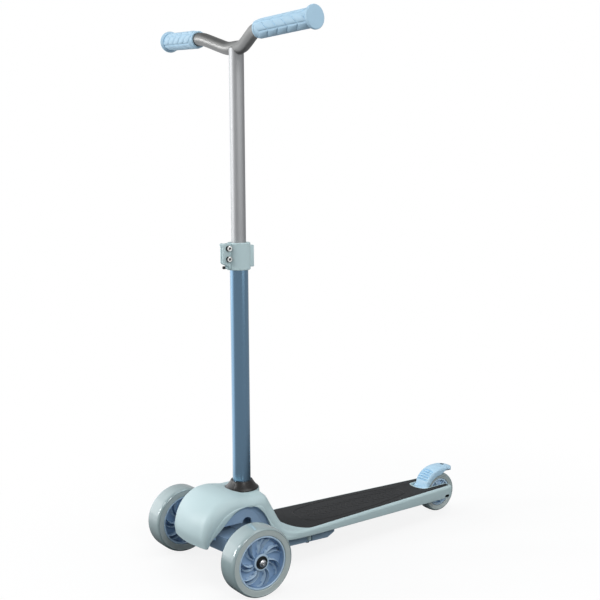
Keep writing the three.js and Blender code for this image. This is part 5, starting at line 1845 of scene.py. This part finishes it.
@dataclass
class RearWheel(Assembly):
    """The rear wheel."""

    centre: Flat = REAR_AXLE
    radius: float = REAR_AXLE[1]
    width: float = 26.0
    bore: float = 28.0
    spokes: int = 6

    def build(self) -> None:
        """Makes and mounts the wheel."""
        finishes, half = self.finishes, self.width / 2
        right = [(self.radius - 0.2 * t * t, lerp(0, half - 6, t)) for t in steps(3)]
        right += arc((self.radius - 4.2, half - 6), (4, 6), 0, 90, 10)[1:]
        tread = len(right) - 1
        right += [(35.2, half - 0.5), (29.0, half - 0.4), (self.bore, half - 1.2)]
        tyre = shaded(tyre_shape(right, tread, self.centre, 112).piece("rear_tread"), 50)
        mounted(dressed(tyre, finishes.tread, finishes.side), "rear_wheel", "tyre_urethane", "rear_tyre")
        mounted(self.hub(), "rear_wheel", "blue_plastic", "rear_hub")
        for word, start in (("left", half - 7.9), ("right", -half + 1.5)):
            race = shaded(bearing_shape(start, start + 6.4, self.centre).piece(f"rear_{word}_race"))
            mounted(dressed(race, finishes.steel), "rear_wheel", "dark_steel", f"rear_{word}_bearing")

    def hub(self) -> Piece:
        """Barrel, web and boss with flat spokes on both faces.

        Returns:
            The hub.
        """
        finish, barrel = self.finishes.hub, self.width / 2 - 1.2
        out, inner, boss = self.bore - 0.3, self.bore - 3.8, 14.3
        right = [(5.5, barrel), (boss - 0.7, barrel), (boss, barrel - 0.7), (boss + 0.2, 3.4)]
        right += [(boss + 1, 3.0), (inner - 1, 3.0), (inner - 0.2, 3.6), (inner, barrel - 0.8)]
        right += [(inner + 0.8, barrel), (out - 0.6, barrel), (out, barrel - 0.6)]
        body = Shape().turned(hub_profile(right), Axis.X, self.centre, 96, closed=True).piece("body")
        carved(body, Cut.AWAY, bearing_seats(barrel, self.centre).piece("seats"))
        spoke = rounded(Shape().block((-9.5, -1.6, 13), (9.5, 1.6, 25.5)).piece("spoke", False), 0.8)
        spokes = ring_recipe().make(
            "spokes", unit_of(spoke), finish, Count=self.spokes, Step=TAU / self.spokes, Phase=0.3,
            Centre=DRAWING.place((0, *self.centre)),
        )
        return joined("rear_spoked_hub", dressed(shaded(body), finish), shaded(spokes))


@dataclass
class Brake(Assembly):
    """Brake fender over the rear wheel, with its hinge pin and torsion spring."""

    half_width: float = 18.0
    axle: Flat = REAR_AXLE
    wheel: float = REAR_AXLE[1]
    pin: Flat = BRAKE_HINGE
    pin_reach: float = 31.0
    boss: float = 4.6
    tongue: float = 16.0
    grooves: int = 5
    groove_half: float = 14.5
    wall: float = 2.8
    corner: float = 4.0
    swell: float = 2.0
    side_share: float = 0.93
    tongue_lead: float = -5.0
    tongue_start: float = 20.0
    tongue_depth: float = 9.0
    hole: float = 544.5
    # Degrees over the axle, and the top's radius as a share of the wheel's.
    radius_shares: tuple[Flat, ...] = (
        (-68, 1.13), (-50, 1.235), (-34, 1.275), (-18, 1.3), (-3, 1.32), (10, 1.355),
        (20, 1.41), (29, 1.465), (36.5, 1.5),
    )

    def beside(self, degrees: float, radius: float) -> Vector:
        """Point (Y, Z) by its angle from the vertical at the rear axle and its radius."""
        angle = math.radians(degrees)
        return Vector((self.axle[0] + radius * math.sin(angle), self.axle[1] + radius * math.cos(angle)))

    def build(self) -> None:
        """Makes and mounts the brake."""
        finishes, reach = self.finishes, self.pin_reach
        mounted(self.fender(), "brake", "brake_plastic", "brake_fender")
        profile = [(0, -reach), (2.0, -reach), (2.5, -reach + 0.5)]
        profile += [(2.5, reach - 0.5), (2.0, reach), (0, reach)]
        pin = Shape().turned(profile, Axis.X, self.pin, 32).piece("hinge_pin")
        mounted(dressed(shaded(pin), finishes.steel), "frame", "dark_steel", "brake_hinge_pin")
        coil = coil_recipe().make(
            "return_spring", None, finishes.bright, Turns=1.6, Radius=3.6 * MM, Length=0.8 * MM,
            Wire=0.35 * MM, Start=DRAWING.place((18.75, *self.pin)),
        )
        mounted(shaded(coil, 60), "frame", "bright_steel", "brake_spring")

    def fender(self) -> Piece:
        """The fender: a crowned top with side walls, a round tongue, grooves and a hole.

        Returns:
            The fender.
        """
        finishes, (y, z), half = self.finishes, self.pin, self.half_width
        keys = [self.beside(angle, share * self.wheel) for angle, share in self.radius_shares]
        body = self.channel(keys)
        hinge = Shape().rod(Axis.X, -half, half, self.boss, self.pin, 48)
        lap, foot = self.radius_shares[0][0] + 4, self.radius_shares[0][1] * self.wheel - self.swell
        lapped = [tuple(self.beside(lap, radius)) for radius in (foot - self.swell, foot)]
        neck = [(y - self.boss * 0.9, z), (y + self.boss * 0.7, z), *lapped]
        arm = Shape().drawn(neck, Axis.X, -half, half)
        pad = [tuple(self.beside(a, self.wheel + 3)) for a in (-8, 0, 8)]
        pad += [tuple(self.beside(a, self.wheel * 1.275)) for a in (8, -8)]
        block = Shape().drawn(pad, Axis.X, -9, 9)
        carved(body, Cut.ADD, hinge.piece("hinge"), arm.piece("neck"), block.piece("pad"))
        wide, front = half + 0.3, y - self.boss - 4
        rounded_end = arc((0, keys[-1].x - self.tongue), (wide, self.tongue), 0, 180, 48)
        plan = Shape().drawn([(wide, front), *rounded_end, (-wide, front)], Axis.Z, 0, 150)
        carved(body, Cut.KEEP, plan.piece("plan"))
        bars = self.groove_bars()
        bore = Shape().rod(Axis.X, -30, 30, 2.8, self.pin, 32)
        profile = [(0, 60), (2.6, 60), (2.6, 91.6), (4.2, 91.9), (4.2, 120), (0, 120)]
        hole = Shape().turned(profile, Axis.Z, (0, self.hole), 32).piece("hole")
        # the hole's walls are black: painted shade inside the hole
        marked(hole, 1, finishes.brake, finishes.black)
        # the groove bars leave their darker finish on the faces they cut: painted shade
        dressed(body, finishes.brake, finishes.black, finishes.groove_shade)
        carved(body, Cut.AWAY, bars, bore.piece("bore"), hole)
        return shaded(welded(body), 38)

    def channel(self, keys: Sequence[Vector]) -> Piece:
        """The crowned channel over the wheel, which turns into a solid tongue.

        Args:
            keys: Points (Y, Z) that its top passes.

        Returns:
            The channel.
        """
        rings, tongue = [], []
        for top in curve_through(keys, 7, False):
            out = top - Vector(self.axle)
            angle = math.degrees(math.atan2(out.x, out.y))
            share = smooth((angle - self.tongue_lead) / (self.tongue_start - self.tongue_lead))
            depth = lerp(out.length - self.side_share * self.wheel, self.tongue_depth, share)
            shell = Channel(self.half_width, self.corner, self.swell, depth, self.wall)
            rings.append(shell.ring(top, -out.normalized()))
            if angle >= self.tongue_start:
                tongue.append(replace(shell, solid=True).ring(top, -out.normalized()))
        return carved(Shape().skin(rings).piece("brake_top"), Cut.ADD, Shape().skin(tongue).piece("tongue"))

    def groove_bars(self) -> Piece:
        """Cutters for the grooves across the front slope.

        Returns:
            The cutters, in the darker painted shade of the grooves.
        """
        (first, low), (last, high) = self.radius_shares[1], self.radius_shares[3]
        bar = Shape().rod(Axis.X, -self.groove_half, self.groove_half, 1.9, (0, low * self.wheel - 0.5), 16)
        bars = ring_recipe().make(
            "bars", unit_of(bar.piece("bar", False)), self.finishes.groove_shade, Count=self.grooves,
            Phase=-math.radians(first), Step=-math.radians((last - first) / self.grooves),
            Growth=(high - low) / self.grooves / low, Centre=DRAWING.place((0, *self.axle)),
        )
        return marked(bars, 2, self.finishes.brake, self.finishes.black, self.finishes.groove_shade)


@dataclass
class Column(Assembly):
    """Steering column: lower tube, boot, clamp with its bolts, and the lock button."""

    station: float = COLUMN_Y
    radius: float = 16.0
    wall: float = 1.5
    bottom: float = 88.0
    top: float = 572.0
    seat: float = COLUMN_SEAT
    boot_radius: float = 29.9
    boot_height: float = 15.0
    clamp_bottom: float = 532.0
    clamp_top: float = 579.0
    clamp_radius: float = 20.2
    lip: float = 13.3
    ear_half: float = 5.0
    ear_front: float = 35.0
    ear_bottom: float = 543.0
    bolt_reach: float = 24.8
    bolt_heights: Flat = (570.0, 551.7)
    button_height: float = 537.0
    cross_bolt: float = 106.35

    def build(self) -> None:
        """Makes and mounts every piece of the column."""
        inner, out, low, high = self.radius - self.wall, self.radius, self.bottom, self.top
        profile = [(inner, low), (out - 0.4, low), (out, low + 0.4)]
        profile += [(out, high - 0.4), (out - 0.4, high), (inner, high)]
        tube = Shape().turned(profile, Axis.Z, (0, self.station), 96, closed=True).piece("lower_tube")
        bore = Shape().rod(Axis.Y, self.station - 22, self.station, 2.9, (0, self.button_height), 32)
        cross = Shape().rod(Axis.X, -22, 22, 3.3, (self.station, self.cross_bolt), 32)
        carved(tube, Cut.AWAY, bore.piece("bore"), cross.piece("cross"))
        mounted(dressed(shaded(tube), self.finishes.tube), "frame", "blue_tube", "column_tube")
        mounted(self.boot(), "frame", "dark_plastic", "column_boot")
        mounted(self.clamp(), "frame", "pale_plastic", "height_clamp")
        self.fasteners()
        mounted(self.button(), "lock_button_body", "dark_plastic", "lock_button")

    def boot(self) -> Piece:
        """Flared cover round the foot of the column, with a rolled rim.

        Returns:
            The boot.
        """
        bore, bottom, rim = self.radius + 0.3, self.seat + 0.3, self.boot_radius
        neck, top = bore + 3.2, bottom + self.boot_height
        profile = [(bore, bottom), (rim - 0.5, bottom), (rim, bottom + 0.5), (rim, bottom + 1.4)]
        profile += [(rim - 0.7, bottom + 2.1)]
        for t in steps(12)[1:]:
            profile.append((lerp(rim - 1.0, neck, t**0.8), bottom + 2.1 + (self.boot_height - 2.8) * t))
        profile += [(neck, top - 0.5), (neck - 0.5, top), (bore, top)]
        boot = Shape().turned(profile, Axis.Z, (0, self.station), 96, closed=True).piece("flared_boot")
        return dressed(shaded(boot, 45), self.finishes.dark)

    def clamp(self) -> Piece:
        """Collar with two ears, a slit, a rib behind and the button's boss.

        Returns:
            The clamp.
        """
        centre, half, y = (0.0, self.station), self.ear_half, self.station
        low, high, r = self.clamp_bottom, self.clamp_top, self.clamp_radius
        bore, lip = self.radius + 0.3, self.lip
        profile = [(bore, low), (r - 1.2, low), (r, low + 1.2), (r, high - 1.2), (r - 1.2, high), (lip, high)]
        profile += [(lip, self.top + 0.3), (bore, self.top + 0.3)]
        body = Shape().turned(profile, Axis.Z, centre, 96, closed=True).piece("height_collar")
        front, back, foot = y - self.ear_front, y - self.radius - 1.2, self.ear_bottom
        outline = [
            (back, low + 1.2), (front + 9.5, foot - 3.4), (front + 3, foot - 0.6), (front + 0.9, foot + 0.8),
            (front, foot + 3), (front, high - 9), (front - 0.2, high - 5.5), (front - 1.4, high - 3),
            (front - 0.6, high - 0.8), (front + 1.4, high), (front + 6, high - 0.8), (back, high),
        ]
        ears = rounded(Shape().drawn(outline, Axis.X, -half, half).piece("ears"), 1.0, 3)
        rib = Shape().block((-3.5, y + 17.2, low + 3.5), (3.5, y + 29.4, high - 5.6))
        web = Shape().block((-4.3, y + 15, low + 2.5), (4.3, y + 21.4, high - 2.5))
        boss = Shape().rod(Axis.Y, y - 23.0, back, 4.8, (0, self.button_height), 40)
        behind = (rounded(web.piece("web"), 0.8), rounded(rib.piece("rib"), 1.0, 3))
        carved(body, Cut.ADD, ears, *behind, rounded(boss.piece("boss"), 0.6))
        tools = [
            Shape().block((-1.0, front - 6, foot + 1.2), (1.0, y, high + 6)),
            Shape().rod(Axis.Z, low - 4, self.top + 0.3, bore, centre, 96),
            Shape().rod(Axis.Z, low, high + 4, lip, centre, 96),
            Shape().rod(Axis.Y, y - 27.0, y, 2.9, (0, self.button_height), 32),
        ]
        for z in self.bolt_heights:
            tools.append(Shape().rod(Axis.X, -half - 4, half + 4, 3.1, (y - self.bolt_reach, z), 32))
        carved(body, Cut.AWAY, *[tool.piece("tool") for tool in tools])
        return dressed(shaded(welded(body), 38), self.finishes.pale)

    def fasteners(self) -> None:
        """Mounts the clamp's socket head bolts and their nuts."""
        finishes, face, row = self.finishes, self.ear_half + 0.3, row_recipe()
        first, second = self.bolt_heights
        rows = {"Count": 2, "Step": Vector((0, 0, (second - first) * MM))}
        rows["Start"] = DRAWING.place((0, self.station - self.bolt_reach, first))
        bolts = shaded(row.make("bolts", self.bolt(face), finishes.nickel, **rows), 30)
        # black knurl ring: painted dark reflection; black hexagon in the socket: painted shade
        knurls_and_socket_shade = shaded(row.make("knurls_and_socket_shade", self.knurl(face), finishes.black, **rows), 20)
        whole = joined("clamp_bolts", bolts, knurls_and_socket_shade)
        mounted(whole, "frame", "bright_steel", "upper_clamp_bolt", "lower_clamp_bolt")
        nuts = row.make("clamp_nuts", self.nut(-face), finishes.steel, **rows)
        mounted(shaded(nuts, 30), "frame", "dark_steel", "upper_clamp_nut", "lower_clamp_nut")

    def bolt(self, face: float) -> Mesh:
        """A socket head bolt along X.

        Args:
            face: X of the face under its head.

        Returns:
            Its mesh.
        """
        end = face + 6.0
        profile = [(0, -face - 4.5), (2.3, -face - 4.5), (2.8, -face - 4.0), (2.8, face), (4.5, face)]
        profile += [(4.8, face + 0.3), (4.8, end - 0.8), (4.0, end)]
        profile += [(2.9, end), (2.5, end - 0.5), (0, end - 0.5)]
        bolt = Shape().turned(profile, Axis.X, sides=48).piece("bolt", False)
        socket = Shape().rod(Axis.X, end - 3.6, end + 3, 2.35, (0, 0), 6).piece("socket", False)
        return unit_of(shaded(carved(bolt, Cut.AWAY, socket), 30))

    def knurl(self, face: float) -> Mesh:
        """Black knurl round a bolt's head as a painted dark reflection, and a black socket floor as painted
        shade.

        Args:
            face: X of the face under the head.

        Returns:
            The mesh.
        """
        shape, end = Shape(), face + 6.0
        teeth = [(4.85 + 0.12 * (k % 2), TAU * k / 72) for k in range(72)]
        socket = [(2.3, TAU * k / 6) for k in range(6)]
        for outline, low, high in ((teeth, face + 0.3, end - 1.0), (socket, end - 3.7, end - 0.6)):
            shape.drawn([(r * math.cos(a), r * math.sin(a)) for r, a in outline], Axis.X, low, high)
        return unit_of(shape.piece("dark", False))

    def nut(self, face: float) -> Mesh:
        """A nut along X with a chamfered back.

        Args:
            face: X of the face that it bears on.

        Returns:
            Its mesh.
        """
        back = face - 4.05
        nut = Shape().rod(Axis.X, back, face, 5.0, (0, 0), 6).piece("nut", False)
        profile = [(0, back - 1), (3.7, back - 1), (6.2, face + 1), (0, face + 1)]
        cone = Shape().turned(profile, Axis.X, sides=48).piece("cone", False)
        bore = Shape().rod(Axis.X, -20, 20, 3.1, (0, 0), 32).piece("bore", False)
        return unit_of(carved(nut, Cut.KEEP, carved(cone, Cut.AWAY, bore)))

    def button(self) -> Piece:
        """The lock button.

        Returns:
            The button, pale inside.
        """
        front, back = ((corner.y - DRAWING.front_axle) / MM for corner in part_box("lock_button"))
        profile = [(0, back), (2.6, back), (2.6, front + 4.2), (2.1, front + 4.0), (2.1, front + 3.4)]
        profile += [(2.6, front + 3.2), (2.6, front + 1.4), (2.3, front + 0.5)]
        profile += [(1.5, front + 0.1), (0, front)]
        place, finishes = (0, self.button_height), self.finishes
        button = Shape().turned(profile, Axis.Y, place, 32, finish_of=lambda k: int(k < 2))
        return dressed(shaded(button.piece("push_button"), 45), finishes.black, finishes.pale)


@dataclass
class TBar(Assembly):
    """The sliding upper tube, the bent handlebar and its two grips."""

    station: float = COLUMN_Y
    tube_radius: float = 12.7
    tube_wall: float = 1.6
    tube_bottom: float = 400.0
    bar_radius: float = 11.1
    saddle: float = 906.8
    rise: float = 20.2
    forward: float = 17.4
    grip_inner: float = 92.6
    grip_length: float = 133.0
    grip_radius: float = 15.6
    groove: float = 1.0
    collar_radius: float = 14.4
    flange_radius: float = 18.9
    flange_length: float = 5.5
    panels: int = 5
    outwards: Point = (1.0, 0.119, 0.055)
    # Shares of the way to the grip, forward and up.
    bend_shares: tuple[Point, ...] = (
        (0.24, 0.14, 0.01), (0.45, 0.37, 0.3), (0.67, 0.66, 0.66), (0.87, 0.9, 0.95),
    )

    def along(self, out: float, ahead: float, up: float) -> Vector:
        """Point by its shares of the way to the grip, forward and up."""
        y, z = self.station - self.forward * ahead, self.saddle + self.rise * up
        return Vector((self.grip_inner * out, y, z))

    def build(self) -> None:
        """Makes and mounts every piece of the T-bar."""
        line, sweep, satin = self.line(), sweep_recipe(), self.finishes.satin
        bar = sweep.make("bent_bar", line, satin, Radius=self.bar_radius * MM, Sides=48)
        mounted(shaded(bar, 40), "t_bar", "aluminium_tube", "handlebar")
        notch = sweep.make("notch", line, satin, Radius=(self.bar_radius + 0.1) * MM, Sides=48)
        mounted(self.upright(notch), "t_bar", "aluminium_tube", "upper_tube")
        weld = sweep.make("weld_bead", self.weld_line(), satin, Radius=1.1 * MM, Sides=12)
        mounted(shaded(weld, 60), "t_bar", "aluminium_tube")
        for side in Side:
            mounted(self.grip(side), "t_bar", "grip_rubber", f"{side.word}_grip")

    def line(self) -> Mesh:
        """The bar's middle line, from the left end to the right.

        Returns:
            The line, for a sweep to follow.
        """
        start, outwards = self.along(1, 1, 1), Vector(self.outwards).normalized()
        bends = [self.along(*shares) for shares in reversed(self.bend_shares)]
        left = [start + outwards * 120, start + outwards * 12, start, *bends]
        right = [Vector((-p.x, p.y, p.z)) for p in reversed(left)]
        points = curve_through([*left, self.along(0, 0, 0), *right], 7, True)
        return path_mesh([DRAWING.place(p) for p in points])

    def upright(self, notch: Piece) -> Piece:
        """The upper tube, its top notched for the bar.

        Args:
            notch: Cutter of the notch, which is used up.

        Returns:
            The tube.
        """
        out, low, high = self.tube_radius, self.tube_bottom, self.saddle
        inner = out - self.tube_wall
        profile = [(inner, low), (out, low), (out, high), (inner, high)]
        tube = Shape().turned(profile, Axis.Z, (0, self.station), 96, closed=True).piece("sliding_tube")
        carved(tube, Cut.AWAY, notch)
        return dressed(shaded(welded(tube), 38), self.finishes.brushed)

    def weld_line(self) -> Mesh:
        """Rippled loop round the joint of tube and bar.

        Returns:
            The loop, for a sweep to follow.
        """
        loop = []
        for t in steps(72)[:-1]:
            cos, sin = math.cos(TAU * t), math.sin(TAU * t)
            across = min(self.bar_radius, abs(self.tube_radius * sin))
            drop = math.sqrt(self.bar_radius**2 - across**2)
            radius = self.tube_radius + 0.12 * math.sin(TAU * t * 36)
            y, z = self.station + (radius - 0.6) * sin, self.saddle - drop - 0.4
            loop.append(DRAWING.place((radius * cos, y, z)))
        return path_mesh(loop, True)

    def grip(self, side: Side) -> Piece:
        """Soft grip with slanting raised panels between a collar and a broad flange.

        Args:
            side: Its side.

        Returns:
            The grip.
        """
        finishes, rows = self.finishes, grid_recipe()
        start, end = 9.0, self.grip_length - self.flange_length - 4.5
        pitch = (end - start) / self.panels
        # the sleeve's finish 1 is the darker painted shade of the groove
        parts = [dressed(shaded(self.sleeve().piece("sleeve", False), 45), finishes.grip, finishes.groove)]
        for phase, slant in ((28.0, 7.0), (88.0, -7.0)):
            panel = unit_of(self.panel(pitch - 1.3, 27.2, slant).piece("panel", False))
            made = rows.make(
                "panels", panel, finishes.grip, Along=self.panels, Around=3, Start=start * MM,
                Pitch=pitch * MM, Phase=math.radians(phase),
            )
            parts.append(shaded(made, 60))
        grip = joined(f"{side.word}_soft_grip", *parts)
        turn = Vector((1, 0, 0)).rotation_difference(Vector(self.outwards).normalized())
        place = Matrix.Translation(DRAWING.place(self.along(1, 1, 1))) @ turn.to_matrix().to_4x4()
        grip.data.transform(Matrix.Diagonal((side.value, 1, 1, 1)) @ place)
        if side is Side.RIGHT:
            grip.data.flip_normals()
        return grip

    def sleeve(self) -> Shape:
        """The grip's turned body about the X axis, from its inner end.

        Returns:
            The body, with finish 1, a darker painted shade, in the groove under the panels.
        """
        root, collar, flange = self.grip_radius - self.groove, self.collar_radius, self.flange_radius
        end, length = self.grip_length - self.flange_length, self.grip_length
        profile = [(11.7, 0), (collar - 0.8, 0), (collar, 0.8), (collar, 4.2), (collar - 0.5, 5.0)]
        profile += [(root, 6.5), (root, end - 4.5), (root + 1.4, end - 2.2), (flange - 1.6, end - 0.4)]
        profile += [(flange - 0.3, end + 0.6), (flange, end + 1.6)]
        profile += arc((flange - 1.7, length - 1.7), (1.7, 1.7), 0, 90, 5)
        profile += [(9.0, length - 0.1), (0, length), (0, 121.0), (11.7, 121.0)]
        return Shape().turned(profile, Axis.X, sides=96, closed=True, finish_of=lambda k: int(k == 6))

    def panel(self, length: float, half_angle: float, slant: float) -> Shape:
        """A raised panel at the top of the grip.

        Args:
            length: Length along the grip.
            half_angle: Degrees from its middle to an end, round the grip.
            slant: How far its ends are shifted along the grip.

        Returns:
            The panel as a closed shape.
        """
        root, rings = self.grip_radius - self.groove, []
        for share in (-1.0, -0.9, -0.78, -0.4, 0.0, 0.4, 0.78, 0.9, 1.0):
            lift = {1.0: 0.0, 0.9: 0.75}.get(abs(share), 1.0)
            angle, shift = math.radians(half_angle * share), slant * share
            r = lerp(root, self.grip_radius, lift)
            near = [(0.0, root - 0.6), (0.0, root), (0.7, lerp(root, r, 0.8)), (1.4, r)]
            flat = [*near, *[(length - x, radius) for x, radius in reversed(near)]]
            rings.append([(shift + x, h * math.sin(angle), h * math.cos(angle)) for x, h in flat])
        return Shape().skin(rings)


@dataclass
class Studio:
    """Floor, lamps, sky and camera."""

    # Place on the drawing, turns in degrees, and focal length in widths of the picture.
    camera_place: Point = (1502.235, -910.145, 734.635)
    azimuth: float = 53.9335
    pitch: float = 8.1955
    roll: float = -0.2396
    focal: float = 1.72618
    sensor: float = 36.0
    bright_side: Point = (-0.906, -0.423, 0.0)
    dim: float = 0.42
    bright: float = 1.8
    haze: tuple[float, ...] = (0.95, 0.97, 1, 1)
    aim: Point = (0.0, 0.0, 0.45)
    # Name, place, size and watts of each lamp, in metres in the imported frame.
    lamps: tuple[tuple[str, Point, Flat, float], ...] = (
        ("key", (-0.6, -3.1, 2.9), (0.7, 0.7), 17),
        ("window", (-1.5, -2.7, 1.1), (0.4, 0.9), 30),
        ("edge", (-2.5, -1.7, 0.3), (1.2, 2.4), 5),
        ("top", (0.6, 0.6, 3.4), (2.0, 2.0), 24),
        ("side", (3.0, -0.9, 2.2), (1.0, 1.0), 34),
        ("near", (3.2, 1.0, 1.2), (2.2, 2.2), 13),
    )

    def build(self) -> None:
        """Makes the floor, the sky, the lamps and the camera."""
        self.floor()
        self.sky()
        for name, place, size, power in self.lamps:
            self.lamp(name, place, size, power)
        self.camera()

    def floor(self) -> None:
        """Plain pale floor that keeps the shadow; other rays see it dark, glowing dimly, with a painted
        reflection patch.
        """
        reach = 14.0
        corners = [(-reach, -reach, 0), (reach, -reach, 0), (reach, reach, 0), (-reach, reach, 0)]
        floor = linked("floor", bpy.data.meshes.new("floor"))
        floor.data.from_pydata(corners, [], [(0, 1, 2, 3)])
        paint = Paint("floor_white")
        paint.feed("Roughness", 0.9)
        paint.feed("Specular IOR Level", 0.0)
        grain = paint.noise(paint.surface(), 30, 2)
        paint.feed("Base Color", paint.mixed(grain, (0.93, 0.93, 0.93, 1), (0.95, 0.95, 0.95, 1)))
        white, haze, painted_reflection = (
            paint.node("ShaderNodeEmission", {}, {"Color": colour, "Strength": strength})
            for colour, strength in (((1, 1, 1, 1), 1.0), (self.haze, self.dim), (self.haze, self.bright))
        )
        rays = ("Is Camera Ray", "Is Glossy Ray")
        seen, glossy = (Wire(paint, paint.node("ShaderNodeLightPath", {}, {}, ray)) for ray in rays)
        away = paint.measure("LENGTH", paint.surface(1, 0.8, 1)).between(0.25, 0.75)
        dark = paint.node("ShaderNodeBsdfDiffuse", {}, {"Color": (0.08, 0.085, 0.09, 1)})
        toward = paint.measure("DOT_PRODUCT", paint.surface(), self.bright_side)
        sunny = (toward / paint.measure("LENGTH", paint.surface())).between(0.6, 0.95)
        # glossy rays see a bright glowing patch on the bright side: a painted reflection
        hidden = paint.blend(0.7 * (sunny * away * glossy), paint.blend(away, dark, haze), painted_reflection)
        lit = paint.blend(0.84 + away * 0.16, paint.shader.outputs["BSDF"], white)
        paint.plug(paint.output, paint.blend(seen, hidden, lit))
        floor.data.materials.append(paint.material)

    def sky(self) -> None:
        """White behind the object, and a soft grey light from all round with a bright side."""
        world = bpy.data.worlds.new("studio")
        bpy.context.scene.world = world
        world.use_nodes = True
        nodes = Nodes(world.node_tree)
        grey = (0.96, 0.98, 1, 1)
        white, dim, bright = (
            nodes.node("ShaderNodeBackground", {}, {"Color": colour, "Strength": strength})
            for colour, strength in (((1, 1, 1, 1), 1.0), (grey, self.dim), (grey, self.bright))
        )
        where = nodes.node("ShaderNodeTexCoord", {}, {}, "Generated")
        toward = nodes.measure("DOT_PRODUCT", where, Vector(self.bright_side).normalized())
        around = nodes.blend(toward.between(0.55, 0.97), dim, bright)
        seen = nodes.node("ShaderNodeLightPath", {}, {}, "Is Camera Ray")
        nodes.node("ShaderNodeOutputWorld", {}, {"Surface": nodes.blend(seen, around, white)})

    def lamp(self, name: str, place: Point, size: Flat, power: float) -> None:
        """Adds a soft lamp that faces the scooter.

        Args:
            name: Its name.
            place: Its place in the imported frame, in metres.
            size: Its width and height in metres.
            power: Its power in watts.
        """
        light = bpy.data.lights.new(name, "AREA")
        light.shape = "RECTANGLE"
        light.size, light.size_y = size
        light.energy = power
        lamp = linked(name, light)
        lamp.location = place
        lamp.rotation_euler = (Vector(self.aim) - Vector(place)).to_track_quat("-Z", "Y").to_euler()

    def camera(self) -> None:
        """Camera at the photograph's place and angle."""
        angles = ((self.azimuth, "Z"), (90 - self.pitch, "X"), (self.roll, "Z"))
        turn, tip, lean = (Matrix.Rotation(math.radians(angle), 4, axis) for angle, axis in angles)
        data = bpy.data.cameras.new("camera")
        data.sensor_width = self.sensor
        data.lens = self.focal * self.sensor
        data.clip_start, data.clip_end = 0.05, 60.0
        camera = linked("camera", data)
        camera.matrix_world = Matrix.Translation(DRAWING.place(self.camera_place)) @ turn @ tip @ lean
        bpy.context.scene.camera = camera


@dataclass
class Hardware(Assembly):
    """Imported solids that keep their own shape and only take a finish."""

    steel: tuple[str, ...] = ("rear_axle_pin", "column_bolt")
    bright: tuple[str, ...] = (
        "left_housing_screw", "right_housing_screw", "rear_left_spacer", "rear_right_spacer",
        "rear_bearing_spacer", "pivot_shaft", "tail_screw", "left_bearing_spacer", "right_bearing_spacer",
    )
    bush: tuple[str, ...] = ("front_pivot_bush", "rear_pivot_bush", "guide_bushing", "tube_plug")
    rubber: tuple[str, ...] = ("left_lean_buffer", "right_lean_buffer")

    def build(self) -> None:
        """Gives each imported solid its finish."""
        finishes = self.finishes
        sets = ((self.steel, finishes.steel), (self.bright, finishes.bright), (self.bush, finishes.bush))
        for names, material in (*sets, (self.rubber, finishes.buffer)):
            for name in names:
                dressed(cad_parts[name], material)
                LOG.info("%s keeps its shape in %s", name, material.name)


def settle_view() -> None:
    """Sets how colours are shown."""
    bpy.context.scene.view_settings.view_transform = "Standard"


def main() -> None:
    """Builds the scooter's looks, from the studio to the grips."""
    logging.basicConfig(level=logging.INFO, format="%(message)s")
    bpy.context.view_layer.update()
    settle_view()
    Studio().build()
    finishes = Finishes()
    for assembly in (Hardware(finishes), Deck(finishes), Underframe(finishes)):
        assembly.build()
    for side in Side:
        FrontWheel(finishes, side).build()
    for assembly in (RearWheel(finishes), Brake(finishes), Column(finishes), TBar(finishes)):
        assembly.build()


if __name__ == "__main__":
    main()
